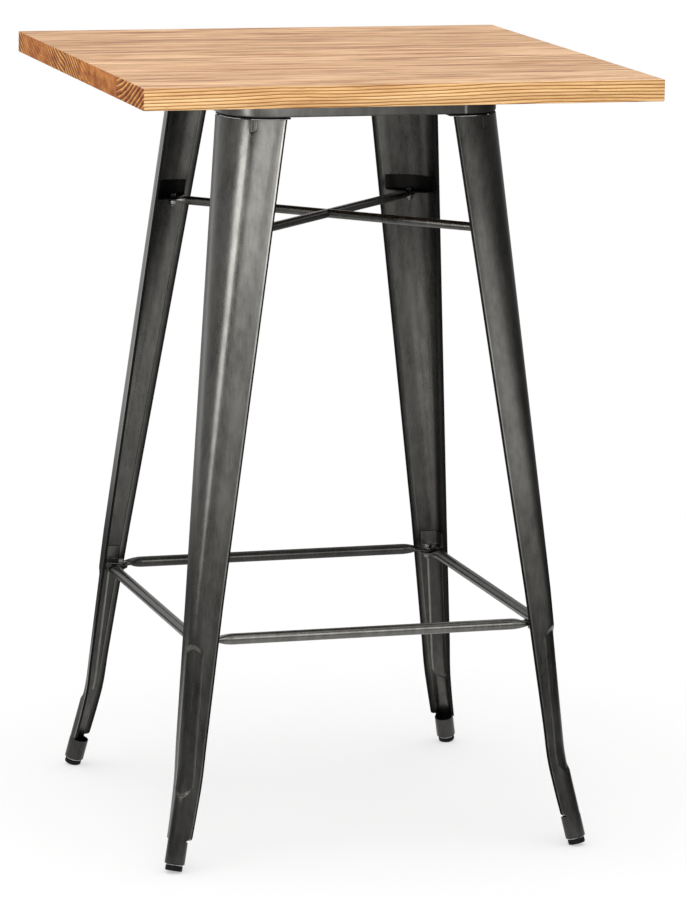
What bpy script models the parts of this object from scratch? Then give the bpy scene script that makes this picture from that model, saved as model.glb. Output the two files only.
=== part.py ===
"""Bar-height table: an edge-glued board top on four rolled sheet-steel legs.

A pressed apron ring carries the top, a crossed pair of tubes braces the legs below it, and four tubes
with flattened ends, bolted between the legs, make the footrest. Metres, +Z up. The origin is on the floor,
under the middle of the top, and +X runs along the grain.
"""
import math

import bmesh
import bpy
from mathutils import Matrix, Vector

# Fits and modelling steps
CLEARANCE = 0.0003
ARC_STEPS = 8
FOLD_STEPS = 2
TUBE_SIDES = 12
BORE_SIDES = 12
SMOOTH_ANGLE = math.radians(35)

# Top
TABLE_HEIGHT = 1.045
TOP_SIDE = 0.700
TOP_THICKNESS = 0.0285
TOP_CORNER_RADIUS = 0.0025
TOP_CORNER_STEPS = 4
TOP_EDGE_RADIUS = 0.0012
TOP_EDGE_STEPS = 2

# Apron ring under the top, a channel open to the inside
APRON_HEIGHT = 0.0317
APRON_SHEET = 0.002
APRON_FLANGE = 0.024
APRON_CORNER_STEPS = 8

# Legs: rolled angle, wide and round at the top, narrow and tight below
LEG_SHEET = 0.0015
LEG_TOP_OFFSET = 0.1905
LEG_SPLAY = 0.0941
LEG_FOOT_HEIGHT = 0.0425
LEG_WAIST_HEIGHT = 0.350
KINK_HEIGHT = 0.120
KINK_SPLAY = 0.110
KINK_BLEND = 0.020
WING_TOP = 0.0763
WING_WAIST = 0.0408
WING_FOOT = 0.0272
CORNER_RADIUS_TOP = 0.062
CORNER_RADIUS_FOOT = 0.0134
HEM_DEPTH = 0.009
HEM_GAP = 0.0006
TOE_IN = math.radians(13.5)
TOE_HEIGHT = 0.170

# Flute pressed into the corner of each leg, between the footrest and the foot
FLUTE_LOW = 0.100
FLUTE_DROP = 0.017
FLUTE_DEPTH = 0.0028
FLUTE_LOW_RUN = 0.007
FLUTE_HIGH_RUN = 0.016
FLUTE_ARC_SHARE = 0.9

# Plate welded on each leg's top and screwed up through the apron
PLATE_THICKNESS = 0.0022
PLATE_INSET = 0.001
PLATE_WIDTH = 0.025
PLATE_OVERHANG = 0.005

# Brackets welded inside the legs, a shelf with an upturned flange
BRACKET_SHEET = 0.002
BRACKET_FLANGE = 0.019
BRACKET_SIDE_GAP = 0.0015
BRACKET_SHELF_STEP = 0.004
BRACE_DROP = 0.1511
BRACE_SHELF_MARGIN = 0.013
RAIL_SHELF_HEIGHT = 0.3030
RAIL_SHELF_MARGIN = 0.011

# Brace tubes, crossed on the diagonals
BRACE_DIAMETER = 0.012
BRACE_BOLT_INSET = 0.0322
BRACE_TAB_WIDTH = 0.018
BRACE_FLAT_GAP = 0.0033
BRACE_FLAT_RUN = 0.0145

# Footrest tubes
RAIL_DIAMETER = 0.015
RAIL_INSET = 0.0144
RAIL_BOLT_INSET = 0.0259
RAIL_TAB_WIDTH = 0.022
RAIL_FLAT_GAP = 0.0025
RAIL_FLAT_RUN = 0.0215
RAIL_BEND_START = 0.028
RAIL_BEND_KNEE = 0.0125
TUBE_WALL = 0.0012
TAB_THICKNESS = 0.003
TAB_SQUARENESS = 3.0
TAB_STEPS = 3
RAIL_FLAT_STEPS = 4
BRACE_FLAT_STEPS = 3

# Fasteners
BOLT_RADIUS = 0.003
BOLT_END = 0.0025
HEX_ACROSS = 0.010
HEAD_HEIGHT = 0.004
NUT_HEIGHT = 0.005
SCREW_INSET = 0.013
SCREW_RADIUS = 0.0038
SCREW_HEX_ACROSS = 0.013
SCREW_HEAD_HEIGHT = 0.005
SCREW_DEPTH = 0.019
SCREW_POINT = 0.006
SCREW_TIP_RADIUS = 0.0008

# Feet
SOCKET_WALL = 0.0015
SOCKET_NOTCH = 0.003
FOOT_RADIUS = 0.0114
FOOT_HEIGHT = 0.007
FOOT_FLAT_DEPTH = 0.001
FOOT_EDGE = 0.0008
FOOT_NECK_RADIUS = 0.008
FOOT_PLUG_HEIGHT = 0.012
RING_RADIUS = 0.0117
RING_THICKNESS = 0.0015
FOOT_SIDES = 16

# Levels, from the floor up
TOP_UNDERSIDE = TABLE_HEIGHT - TOP_THICKNESS
APRON_TOP = TOP_UNDERSIDE - CLEARANCE
APRON_BOTTOM = APRON_TOP - APRON_HEIGHT
PLATE_TOP = APRON_BOTTOM - CLEARANCE
PLATE_BOTTOM = PLATE_TOP - PLATE_THICKNESS
LEG_TOP = PLATE_BOTTOM - CLEARANCE
BRACE_SHELF_HEIGHT = LEG_TOP - BRACE_DROP
FLUTE_HIGH = RAIL_SHELF_HEIGHT - FLUTE_DROP
BRACE_LEVEL = BRACE_SHELF_HEIGHT - CLEARANCE - TAB_THICKNESS / 2
LONG_RAIL_LEVEL = RAIL_SHELF_HEIGHT - CLEARANCE - TAB_THICKNESS / 2
CROSS_RAIL_LEVEL = LONG_RAIL_LEVEL - TAB_THICKNESS - CLEARANCE

# Where each tube's pressed end starts and is flat, from its bolt: flat past the shelf and the tab beside it
BRACE_FLAT_END = BRACE_SHELF_MARGIN / math.sqrt(2) + BRACE_FLAT_GAP
BRACE_FLAT_START = BRACE_FLAT_END + BRACE_FLAT_RUN
RAIL_FLAT_END = max(RAIL_SHELF_MARGIN, RAIL_TAB_WIDTH / 2) + RAIL_FLAT_GAP
RAIL_FLAT_START = RAIL_FLAT_END + RAIL_FLAT_RUN

# Each corner's name, and the turn that brings the back right corner there
CORNERS = (("back_right", 0.0), ("back_left", 90.0), ("front_left", 180.0), ("front_right", 270.0))
# Each footrest tube's name, its turn from the back one, and its level
RAILS = (
    ("rear", 0.0, LONG_RAIL_LEVEL),
    ("front", 180.0, LONG_RAIL_LEVEL),
    ("left", 90.0, CROSS_RAIL_LEVEL),
    ("right", 270.0, CROSS_RAIL_LEVEL),
)


# Materials

def make_material(name, colour, roughness, metallic):
    material = bpy.data.materials.new(name)
    material.use_nodes = True
    shader = material.node_tree.nodes["Principled BSDF"]
    shader.inputs["Base Color"].default_value = (*colour, 1.0)
    shader.inputs["Roughness"].default_value = roughness
    shader.inputs["Metallic"].default_value = metallic
    return material


# Mesh helpers

def loft(bm, rings, closed=False, cap=None):
    """Joins rings of equally many points; closed joins the last to the first, cap closes both ends."""
    verts = [[bm.verts.new(p) for p in ring] for ring in rings]
    count = len(verts[0])
    pairs = list(zip(verts, verts[1:]))
    if closed:
        pairs.append((verts[-1], verts[0]))
    for low, high in pairs:
        for i in range(count):
            j = (i + 1) % count
            bm.faces.new((low[i], low[j], high[j], high[i]))
    if cap == "face":
        bm.faces.new(verts[0])
        bm.faces.new(verts[-1])
    if cap == "strip":
        half = count // 2
        for ring in (verts[0], verts[-1]):
            for i in range(half - 1):
                bm.faces.new((ring[i], ring[i + 1], ring[count - 2 - i], ring[count - 1 - i]))


def add_object(name, bm, material, parent=None, turn=0.0, level=0.0):
    bmesh.ops.recalc_face_normals(bm, faces=bm.faces)
    mesh = bpy.data.meshes.new(name)
    bm.to_mesh(mesh)
    bm.free()
    mesh.materials.append(material)
    mesh.shade_smooth()
    mesh.set_sharp_from_angle(angle=SMOOTH_ANGLE)
    return place(name, mesh, parent, turn, level)


def place(name, mesh, parent, turn=0.0, level=0.0):
    obj = bpy.data.objects.new(name, mesh)
    bpy.context.scene.collection.objects.link(obj)
    obj.rotation_euler = (0.0, 0.0, math.radians(turn))
    obj.location = (0.0, 0.0, level)
    obj.parent = parent
    return obj


def place_at_corners(stem, first, parent):
    """Names the back right piece and sets its three copies, which share its mesh, at the other corners."""
    first.name = f"{stem}_{CORNERS[0][0]}"
    for corner, turn in CORNERS[1:]:
        place(f"{stem}_{corner}", first.data, parent, turn)


def carve(obj, cutter):
    """Cuts the cutter's bodies, drawn in the object's own frame, out of it, and removes the cutter."""
    bmesh.ops.recalc_face_normals(cutter, faces=cutter.faces)
    mesh = bpy.data.meshes.new("cutter")
    cutter.to_mesh(mesh)
    cutter.free()
    tool = place("cutter", mesh, obj.parent)
    tool.rotation_euler = obj.rotation_euler
    tool.location = obj.location
    cut = obj.modifiers.new("cut", "BOOLEAN")
    cut.operation = "DIFFERENCE"
    cut.solver = "EXACT"
    cut.object = tool
    graph = bpy.context.evaluated_depsgraph_get()
    carved = bpy.data.meshes.new_from_object(obj.evaluated_get(graph))
    obj.modifiers.clear()
    obj.data = carved
    carved.set_sharp_from_angle(angle=SMOOTH_ANGLE)
    bpy.data.objects.remove(tool)


def circle(centre, radius, height, sides=BORE_SIDES):
    angles = [2 * math.pi * i / sides for i in range(sides)]
    x, y = centre[0], centre[1]
    return [Vector((x + radius * math.cos(a), y + radius * math.sin(a), height)) for a in angles]


def hexagon(centre, across, height, sides=BORE_SIDES):
    """A hexagon with extra points on its sides, so that it joins to a circle of as many points."""
    points = []
    x, y = centre[0], centre[1]
    for i in range(sides):
        angle = 2 * math.pi * i / sides
        off_flat = (angle + math.pi / 6) % (math.pi / 3) - math.pi / 6
        reach = across / 2 / math.cos(off_flat)
        points.append(Vector((x + reach * math.cos(angle), y + reach * math.sin(angle), height)))
    return points


def pins(centres, radius, low, high):
    """Round bodies for cutting bores."""
    bm = bmesh.new()
    for centre in centres:
        loft(bm, [circle(centre, radius, low), circle(centre, radius, high)], cap="face")
    return bm


def rounded_square(half, radius, height, steps):
    points = []
    for quarter in range(4):
        for i in range(steps + 1):
            angle = i / steps * math.pi / 2
            across = half - radius + radius * math.cos(angle)
            along = half - radius + radius * math.sin(angle)
            points.append(Matrix.Rotation(quarter * math.pi / 2, 3, "Z") @ Vector((across, along, height)))
    return points


def four_ways(x, y):
    """A point turned to all four corners or sides."""
    return [Matrix.Rotation(math.radians(turn), 3, "Z") @ Vector((x, y, 0.0)) for _, turn in CORNERS]


# Leg outline, as functions of the height above the floor

def share(value, low, high):
    return min(1.0, max(0.0, (value - low) / (high - low)))


def smooth(value, low, high):
    t = share(value, low, high)
    return t * t * (3.0 - 2.0 * t)


def leg_offset(z):
    """Distance from the table's middle planes to a leg's outer faces."""
    drop = KINK_HEIGHT - z
    if drop >= KINK_BLEND:
        kink = drop
    elif drop <= -KINK_BLEND:
        kink = 0.0
    else:
        kink = (drop + KINK_BLEND) ** 2 / (4 * KINK_BLEND)
    return LEG_TOP_OFFSET + LEG_SPLAY * (LEG_TOP - z) + KINK_SPLAY * kink


def wing_width(z):
    if z > LEG_WAIST_HEIGHT:
        return WING_WAIST + (WING_TOP - WING_WAIST) * share(z, LEG_WAIST_HEIGHT, LEG_TOP)
    return WING_FOOT + (WING_WAIST - WING_FOOT) * share(z, LEG_FOOT_HEIGHT, LEG_WAIST_HEIGHT)


def corner_radius(z):
    growth = CORNER_RADIUS_TOP - CORNER_RADIUS_FOOT
    return CORNER_RADIUS_FOOT + growth * share(z, LEG_WAIST_HEIGHT, LEG_TOP)


def flute_depth(z):
    rise = smooth(z, FLUTE_LOW, FLUTE_LOW + FLUTE_LOW_RUN)
    fall = 1.0 - smooth(z, FLUTE_HIGH - FLUTE_HIGH_RUN, FLUTE_HIGH)
    return FLUTE_DEPTH * rise * fall


def toe_in(z):
    """The angle by which each wing closes in on the way down to the round foot."""
    return TOE_IN * (1.0 - smooth(z, LEG_FOOT_HEIGHT, TOE_HEIGHT))


def in_corner(s, t, z):
    """A point by its distances inward from a leg's two outer faces, in the back right corner."""
    offset = leg_offset(z)
    return Vector((offset - s, offset - t, z))


def corner_line(inset, end, radius):
    """The leg's outline in plan, inset from its outer face, from one wing's end to the other's."""
    points = [(inset, end)]
    for i in range(ARC_STEPS + 1):
        angle = math.pi + i / ARC_STEPS * math.pi / 2
        reach = radius - inset
        points.append((radius + reach * math.cos(angle), radius + reach * math.sin(angle)))
    points.append((end, inset))
    return points


def leg_ring(z):
    """The section of the folded sheet: hem, wing, round corner with its flute, wing, hem."""
    middle = LEG_SHEET / 2
    fold = (LEG_SHEET + HEM_GAP) / 2
    width = wing_width(z)
    bend = width - fold - middle
    radius = corner_radius(z)
    flute = flute_depth(z)
    toe = toe_in(z)
    close = Matrix.Rotation(-toe, 2)
    centre = Vector((radius, radius))
    wing = [((middle + 2 * fold, width - HEM_DEPTH), (1.0, 0.0))]
    for i in range(FOLD_STEPS + 1):
        angle = i / FOLD_STEPS * math.pi
        away = (math.cos(angle), math.sin(angle))
        wing.append(((middle + fold + fold * away[0], bend + fold * away[1]), away))
    wing = [(centre + close @ (Vector(p) - centre), close @ Vector(n)) for p, n in wing]
    corner = []
    for i in range(ARC_STEPS + 1):
        turn = i / ARC_STEPS
        angle = math.pi - toe + turn * (math.pi / 2 + 2 * toe)
        away = (math.cos(angle), math.sin(angle))
        spread = min(1.0, abs(2 * turn - 1) / FLUTE_ARC_SHARE)
        reach = radius - middle - flute * (1 + math.cos(math.pi * spread)) / 2
        corner.append(((radius + reach * away[0], radius + reach * away[1]), away))
    other = [((p[1], p[0]), (n[1], n[0])) for p, n in reversed(wing)]
    line = wing + corner + other
    skin = [in_corner(p[0] + n[0] * middle, p[1] + n[1] * middle, z) for p, n in line]
    lining = [in_corner(p[0] - n[0] * middle, p[1] - n[1] * middle, z) for p, n in line]
    return skin + lining[::-1]


def leg_heights():
    """Section heights: close together where the leg bends or its flute ends, else wide apart."""
    stretches = (
        (LEG_FOOT_HEIGHT, KINK_HEIGHT - KINK_BLEND, 3),
        (KINK_HEIGHT - KINK_BLEND, FLUTE_LOW + FLUTE_LOW_RUN, 3),
        (FLUTE_LOW + FLUTE_LOW_RUN, KINK_HEIGHT + KINK_BLEND, 2),
        (KINK_HEIGHT + KINK_BLEND, FLUTE_HIGH - FLUTE_HIGH_RUN, 2),
        (FLUTE_HIGH - FLUTE_HIGH_RUN, FLUTE_HIGH, 3),
        (FLUTE_HIGH, LEG_WAIST_HEIGHT, 1),
        (LEG_WAIST_HEIGHT, LEG_TOP, 3),
    )
    heights = set()
    for low, high, steps in stretches:
        heights.update(round(low + (high - low) * i / steps, 6) for i in range(steps + 1))
    return sorted(heights)


# Places that follow the legs' outline
BRACE_BOLT_OFFSET = leg_offset(BRACE_SHELF_HEIGHT) - BRACE_BOLT_INSET
RAIL_OFFSET = leg_offset(RAIL_SHELF_HEIGHT) - RAIL_INSET
RAIL_BOLT_OFFSET = leg_offset(RAIL_SHELF_HEIGHT) - RAIL_BOLT_INSET


# Sub-parts

def make_top(material, parent, screws):
    """The top: a panel of glued boards with rounded corners, eased edges and blind bores for the screws."""
    half = TOP_SIDE / 2
    steps = [i / TOP_EDGE_STEPS * math.pi / 2 for i in range(TOP_EDGE_STEPS + 1)]
    ease = TOP_EDGE_RADIUS
    lower = [(ease * (1 - math.sin(a)), ease * (1 - math.cos(a))) for a in steps]
    profile = [(inset, TOP_UNDERSIDE + rise) for inset, rise in lower]
    profile += [(inset, TABLE_HEIGHT - rise) for inset, rise in reversed(lower)]
    bm = bmesh.new()
    rings = [rounded_square(half - i, TOP_CORNER_RADIUS - i, z, TOP_CORNER_STEPS) for i, z in profile]
    loft(bm, rings, cap="face")
    top = add_object("top_panel", bm, material, parent)
    bore_end = TOP_UNDERSIDE + SCREW_DEPTH + CLEARANCE
    carve(top, pins(screws, SCREW_RADIUS + CLEARANCE, APRON_BOTTOM, bore_end))


def make_apron(material, parent, screws):
    """The ring under the top: outer wall, a flange under the panel and a flange over the legs."""
    inner = APRON_SHEET
    profile = (
        (0.0, APRON_BOTTOM),
        (0.0, APRON_TOP),
        (APRON_FLANGE, APRON_TOP),
        (APRON_FLANGE, APRON_TOP - APRON_SHEET),
        (inner, APRON_TOP - APRON_SHEET),
        (inner, APRON_BOTTOM + APRON_SHEET),
        (APRON_FLANGE, APRON_BOTTOM + APRON_SHEET),
        (APRON_FLANGE, APRON_BOTTOM),
    )
    bm = bmesh.new()
    rings = [
        rounded_square(LEG_TOP_OFFSET - inset, CORNER_RADIUS_TOP - inset, z, APRON_CORNER_STEPS)
        for inset, z in profile
    ]
    loft(bm, rings, closed=True)
    apron = add_object("apron_ring", bm, material, parent)
    carve(apron, pins(screws, SCREW_RADIUS + CLEARANCE, PLATE_BOTTOM, TABLE_HEIGHT))


def make_legs(material, parent):
    bm = bmesh.new()
    loft(bm, [leg_ring(z) for z in leg_heights()], cap="strip")
    place_at_corners("leg", add_object("leg", bm, material, parent), parent)


def make_plates(material, parent, screw):
    bm = bmesh.new()
    end = WING_TOP + PLATE_OVERHANG
    outline = corner_line(PLATE_INSET, end, CORNER_RADIUS_TOP)
    outline += corner_line(PLATE_INSET + PLATE_WIDTH, end, CORNER_RADIUS_TOP)[::-1]
    offset = leg_offset(LEG_TOP)
    levels = (PLATE_BOTTOM, PLATE_TOP)
    loft(bm, [[Vector((offset - s, offset - t, z)) for s, t in outline] for z in levels], cap="strip")
    plate = add_object("leg_top_plate", bm, material, parent)
    carve(plate, pins([screw], SCREW_RADIUS + CLEARANCE, LEG_TOP - PLATE_THICKNESS, APRON_TOP))
    place_at_corners("leg_top_plate", plate, parent)


def make_brackets(stem, shelf, bolt_offset, margin, material, parent):
    """A shelf across the inside of a leg, with a flange turned up along the leg's inner face."""
    base, floor, rim = shelf, shelf + BRACKET_SHEET, shelf + BRACKET_SHEET + BRACKET_FLANGE
    seat = LEG_SHEET + CLEARANCE

    def line(inset, z):
        end = wing_width(shelf) - HEM_DEPTH - BRACKET_SIDE_GAP
        return [in_corner(s, t, z) for s, t in corner_line(inset, end, corner_radius(z))]

    def free_edge(z):
        end = wing_width(shelf) - HEM_DEPTH - BRACKET_SIDE_GAP
        step = seat + BRACKET_SHEET + BRACKET_SHELF_STEP
        bolt = leg_offset(shelf) - bolt_offset
        plan = ((end, step), (bolt + margin, bolt), (bolt, bolt + margin), (step, end))
        offset = leg_offset(shelf)
        return [Vector((offset - s, offset - t, z)) for s, t in plan]

    bm = bmesh.new()
    outer_low = [bm.verts.new(p) for p in line(seat, base)]
    outer_high = [bm.verts.new(p) for p in line(seat, rim)]
    inner_high = [bm.verts.new(p) for p in line(seat + BRACKET_SHEET, rim)]
    inner_low = [bm.verts.new(p) for p in line(seat + BRACKET_SHEET, floor)]
    edge_low = [bm.verts.new(p) for p in free_edge(base)]
    edge_high = [bm.verts.new(p) for p in free_edge(floor)]
    for low, high in ((outer_low, outer_high), (outer_high, inner_high), (inner_high, inner_low)):
        for i in range(len(low) - 1):
            bm.faces.new((low[i], low[i + 1], high[i + 1], high[i]))
    bm.faces.new(outer_low + edge_low)
    bm.faces.new(inner_low + edge_high)
    for i in range(len(edge_low) - 1):
        bm.faces.new((edge_low[i], edge_low[i + 1], edge_high[i + 1], edge_high[i]))
    for end, edge in ((-1, 0), (0, -1)):
        flange = [line[end] for line in (outer_low, outer_high, inner_high, inner_low)]
        bm.faces.new(flange + [edge_high[edge], edge_low[edge]])
    bracket = add_object(stem, bm, material, parent)
    bolt = Vector((bolt_offset, bolt_offset, 0.0))
    carve(bracket, pins([bolt], BOLT_RADIUS + CLEARANCE, base - BRACKET_SHEET, rim))
    place_at_corners(stem, bracket, parent)


def tube_rings(stations):
    """Outer and inner rings of a tube that is pressed flat where a station's height is small."""
    outer, inner = [], []
    for centre, heading, half_width, half_height in stations:
        across = Vector((-heading.y, heading.x, 0.0))
        squareness = 2 / (2 + TAB_SQUARENESS * (1 - half_height / half_width))
        for rings, inset in ((outer, 0.0), (inner, TUBE_WALL)):
            ring = []
            for i in range(TUBE_SIDES):
                angle = 2 * math.pi * (i + 0.5) / TUBE_SIDES
                cosine, sine = math.cos(angle), math.sin(angle)
                side = math.copysign(abs(cosine) ** squareness, cosine) * (half_width - inset)
                rise = math.copysign(abs(sine) ** squareness, sine) * (half_height - inset)
                ring.append(centre + across * side + Vector((0.0, 0.0, rise)))
            rings.append(ring)
    return outer, inner


def end_tab(bolt, heading, half_width):
    """Stations of a flat, round-ended tab, from beside its bolt to its tip."""
    stations = []
    for i in range(TAB_STEPS + 1):
        angle = i / (TAB_STEPS + 1) * math.pi / 2
        centre = bolt + heading * half_width * math.sin(angle)
        stations.append((centre, heading, half_width * math.cos(angle), TAB_THICKNESS / 2))
    return stations


def flattening(start, end, radius, half_width, steps):
    """Half width and half height at each step from a round tube to a flat tab."""
    sizes = []
    for i in range(steps + 1):
        t = (i / steps) ** 2
        sizes.append((start + (end - start) * i / steps, radius + (half_width - radius) * t,
                      radius + (TAB_THICKNESS / 2 - radius) * t))
    return sizes


def rail_half():
    """Stations of one half of a footrest tube, from its middle to its tip, along +X at the back."""
    radius, half_width = RAIL_DIAMETER / 2, RAIL_TAB_WIDTH / 2
    bolt = Vector((RAIL_BOLT_OFFSET, RAIL_BOLT_OFFSET, 0.0))
    ahead = Vector((1.0, 0.0, 0.0))
    begin, end = RAIL_BOLT_OFFSET - RAIL_FLAT_START, RAIL_BOLT_OFFSET - RAIL_FLAT_END
    bend_start = Vector((RAIL_BOLT_OFFSET - RAIL_BEND_START, RAIL_OFFSET, 0.0))
    knee = Vector((RAIL_BOLT_OFFSET - RAIL_BEND_KNEE, RAIL_OFFSET, 0.0))

    def line(x):
        """The tube's middle and heading where its run has reached x: straight, then bent in to the bolt."""
        t = share(x, bend_start.x, bolt.x)
        if t == 0.0:
            return Vector((x, RAIL_OFFSET, 0.0)), ahead
        centre = bend_start * (1 - t) ** 2 + knee * 2 * t * (1 - t) + bolt * t ** 2
        heading = (knee - bend_start) * (1 - t) + (bolt - knee) * t
        return centre, heading.normalized()

    stations = [(Vector((0.0, RAIL_OFFSET, 0.0)), ahead, radius, radius)]
    for x, width, height in flattening(begin, end, radius, half_width, RAIL_FLAT_STEPS):
        stations.append((*line(x), width, height))
    beside = (end + bolt.x) / 2
    stations.append((*line(beside), half_width, TAB_THICKNESS / 2))
    heading = line(bolt.x)[1]
    return stations + end_tab(bolt, heading, half_width)


def make_rails(material, parent):
    half = rail_half()
    mirrored = [
        (Vector((-c.x, c.y, c.z)), Vector((h.x, -h.y, 0.0)), width, height)
        for c, h, width, height in half[:0:-1]
    ]
    outer, inner = tube_rings(mirrored + half)
    bm = bmesh.new()
    loft(bm, outer + inner[::-1], closed=True)
    rail = add_object("rail", bm, material, parent)
    bolts = [Vector((side * RAIL_BOLT_OFFSET, RAIL_BOLT_OFFSET, 0.0)) for side in (-1, 1)]
    carve(rail, pins(bolts, BOLT_RADIUS + CLEARANCE, -RAIL_DIAMETER, RAIL_DIAMETER))
    rail.name = f"footrest_rail_{RAILS[0][0]}"
    rail.location.z = RAILS[0][2]
    for name, turn, level in RAILS[1:]:
        place(f"footrest_rail_{name}", rail.data, parent, turn, level)


def brace_half():
    """Stations of half a brace tube, from the middle of the cross along +X to its tip."""
    radius, half_width = BRACE_DIAMETER / 2, BRACE_TAB_WIDTH / 2
    ahead = Vector((1.0, 0.0, 0.0))
    reach = BRACE_BOLT_OFFSET * math.sqrt(2)
    bolt = Vector((reach, 0.0, 0.0))
    stations = [(Vector((0.0, 0.0, 0.0)), ahead, radius, radius)]
    begin, end = reach - BRACE_FLAT_START, reach - BRACE_FLAT_END
    for x, width, height in flattening(begin, end, radius, half_width, BRACE_FLAT_STEPS):
        stations.append((Vector((x, 0.0, 0.0)), ahead, width, height))
    return stations + end_tab(bolt, ahead, half_width)


def make_brace(material, parent):
    """One tube through, from back left to front right, and two halves coped and welded against it."""
    half = brace_half()
    reach = BRACE_BOLT_OFFSET * math.sqrt(2)
    bolt = Vector((reach, 0.0, 0.0))
    bore = BOLT_RADIUS + CLEARANCE
    mirrored = [(Vector((-c.x, -c.y, c.z)), h, width, height) for c, h, width, height in half[:0:-1]]
    outer, inner = tube_rings(mirrored + half)
    bm = bmesh.new()
    loft(bm, outer + inner[::-1], closed=True)
    through = add_object("brace_tube_through", bm, material, parent, -45.0, BRACE_LEVEL)
    carve(through, pins([bolt, -bolt], bore, -BRACE_DIAMETER, BRACE_DIAMETER))

    outer, inner = tube_rings(half)
    bm = bmesh.new()
    loft(bm, outer + inner[::-1], closed=True)
    coped = add_object("brace_half_back_right", bm, material, parent, 45.0, BRACE_LEVEL)
    carve(coped, pins([bolt], bore, -BRACE_DIAMETER, BRACE_DIAMETER))
    middle = Vector((0.0, 0.0, 0.0))
    cope = pins([middle], BRACE_DIAMETER / 2 + CLEARANCE, -BRACE_DIAMETER, BRACE_DIAMETER)
    bmesh.ops.rotate(cope, verts=cope.verts, matrix=Matrix.Rotation(math.pi / 2, 3, "X"))
    carve(coped, cope)
    place("brace_half_front_left", coped.data, parent, 225.0, BRACE_LEVEL)


def make_joint_fasteners(stem, offset, shelf, underside, material, parent):
    """A hexagon bolt down through each shelf and the tube tabs under it, with a nut below."""
    p = Vector((offset, offset, 0.0))
    head_low = shelf + BRACKET_SHEET + CLEARANCE
    nut_high = underside - CLEARANCE
    nut_low = nut_high - NUT_HEIGHT
    bm = bmesh.new()
    rings = [
        hexagon(p, HEX_ACROSS, head_low + HEAD_HEIGHT),
        hexagon(p, HEX_ACROSS, head_low),
        circle(p, BOLT_RADIUS, head_low),
        circle(p, BOLT_RADIUS, nut_low - BOLT_END),
    ]
    loft(bm, rings, cap="face")
    place_at_corners(f"{stem}_bolt", add_object(f"{stem}_bolt", bm, material, parent), parent)
    bm = bmesh.new()
    bore = BOLT_RADIUS + CLEARANCE
    rings = [
        hexagon(p, HEX_ACROSS, nut_low),
        hexagon(p, HEX_ACROSS, nut_high),
        circle(p, bore, nut_high),
        circle(p, bore, nut_low),
    ]
    loft(bm, rings, closed=True)
    place_at_corners(f"{stem}_nut", add_object(f"{stem}_nut", bm, material, parent), parent)


def make_screws(screw, material, parent):
    """A long screw up through each leg's plate and both flanges of the apron into the panel."""
    head_high = PLATE_BOTTOM - CLEARANCE
    tip = TOP_UNDERSIDE + SCREW_DEPTH
    bm = bmesh.new()
    rings = [
        hexagon(screw, SCREW_HEX_ACROSS, head_high - SCREW_HEAD_HEIGHT),
        hexagon(screw, SCREW_HEX_ACROSS, head_high),
        circle(screw, SCREW_RADIUS, head_high),
        circle(screw, SCREW_RADIUS, tip - SCREW_POINT),
        circle(screw, SCREW_TIP_RADIUS, tip),
    ]
    loft(bm, rings, cap="face")
    place_at_corners("leg_screw", add_object("leg_screw", bm, material, parent), parent)


def foot_frame():
    """Axis of a foot: the point where it meets its tread, and a turn that lays +Z along the leg's end."""
    slope = LEG_SPLAY + KINK_SPLAY
    axis = Vector((-slope, -slope, 1.0)).normalized()
    lean = math.acos(axis.z)
    tread = FOOT_RADIUS * math.sin(lean) - FOOT_FLAT_DEPTH
    middle = leg_offset(LEG_FOOT_HEIGHT) - CORNER_RADIUS_FOOT + slope * (LEG_FOOT_HEIGHT - tread)
    lay = axis.to_track_quat("Z", "Y").to_matrix().to_4x4()
    return Matrix.Translation((middle, middle, tread)) @ lay


def turned(profile, frame, sides=FOOT_SIDES):
    axis = (0.0, 0.0)
    return [[frame @ p for p in circle(axis, radius, along, sides)] for radius, along in profile]


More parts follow.
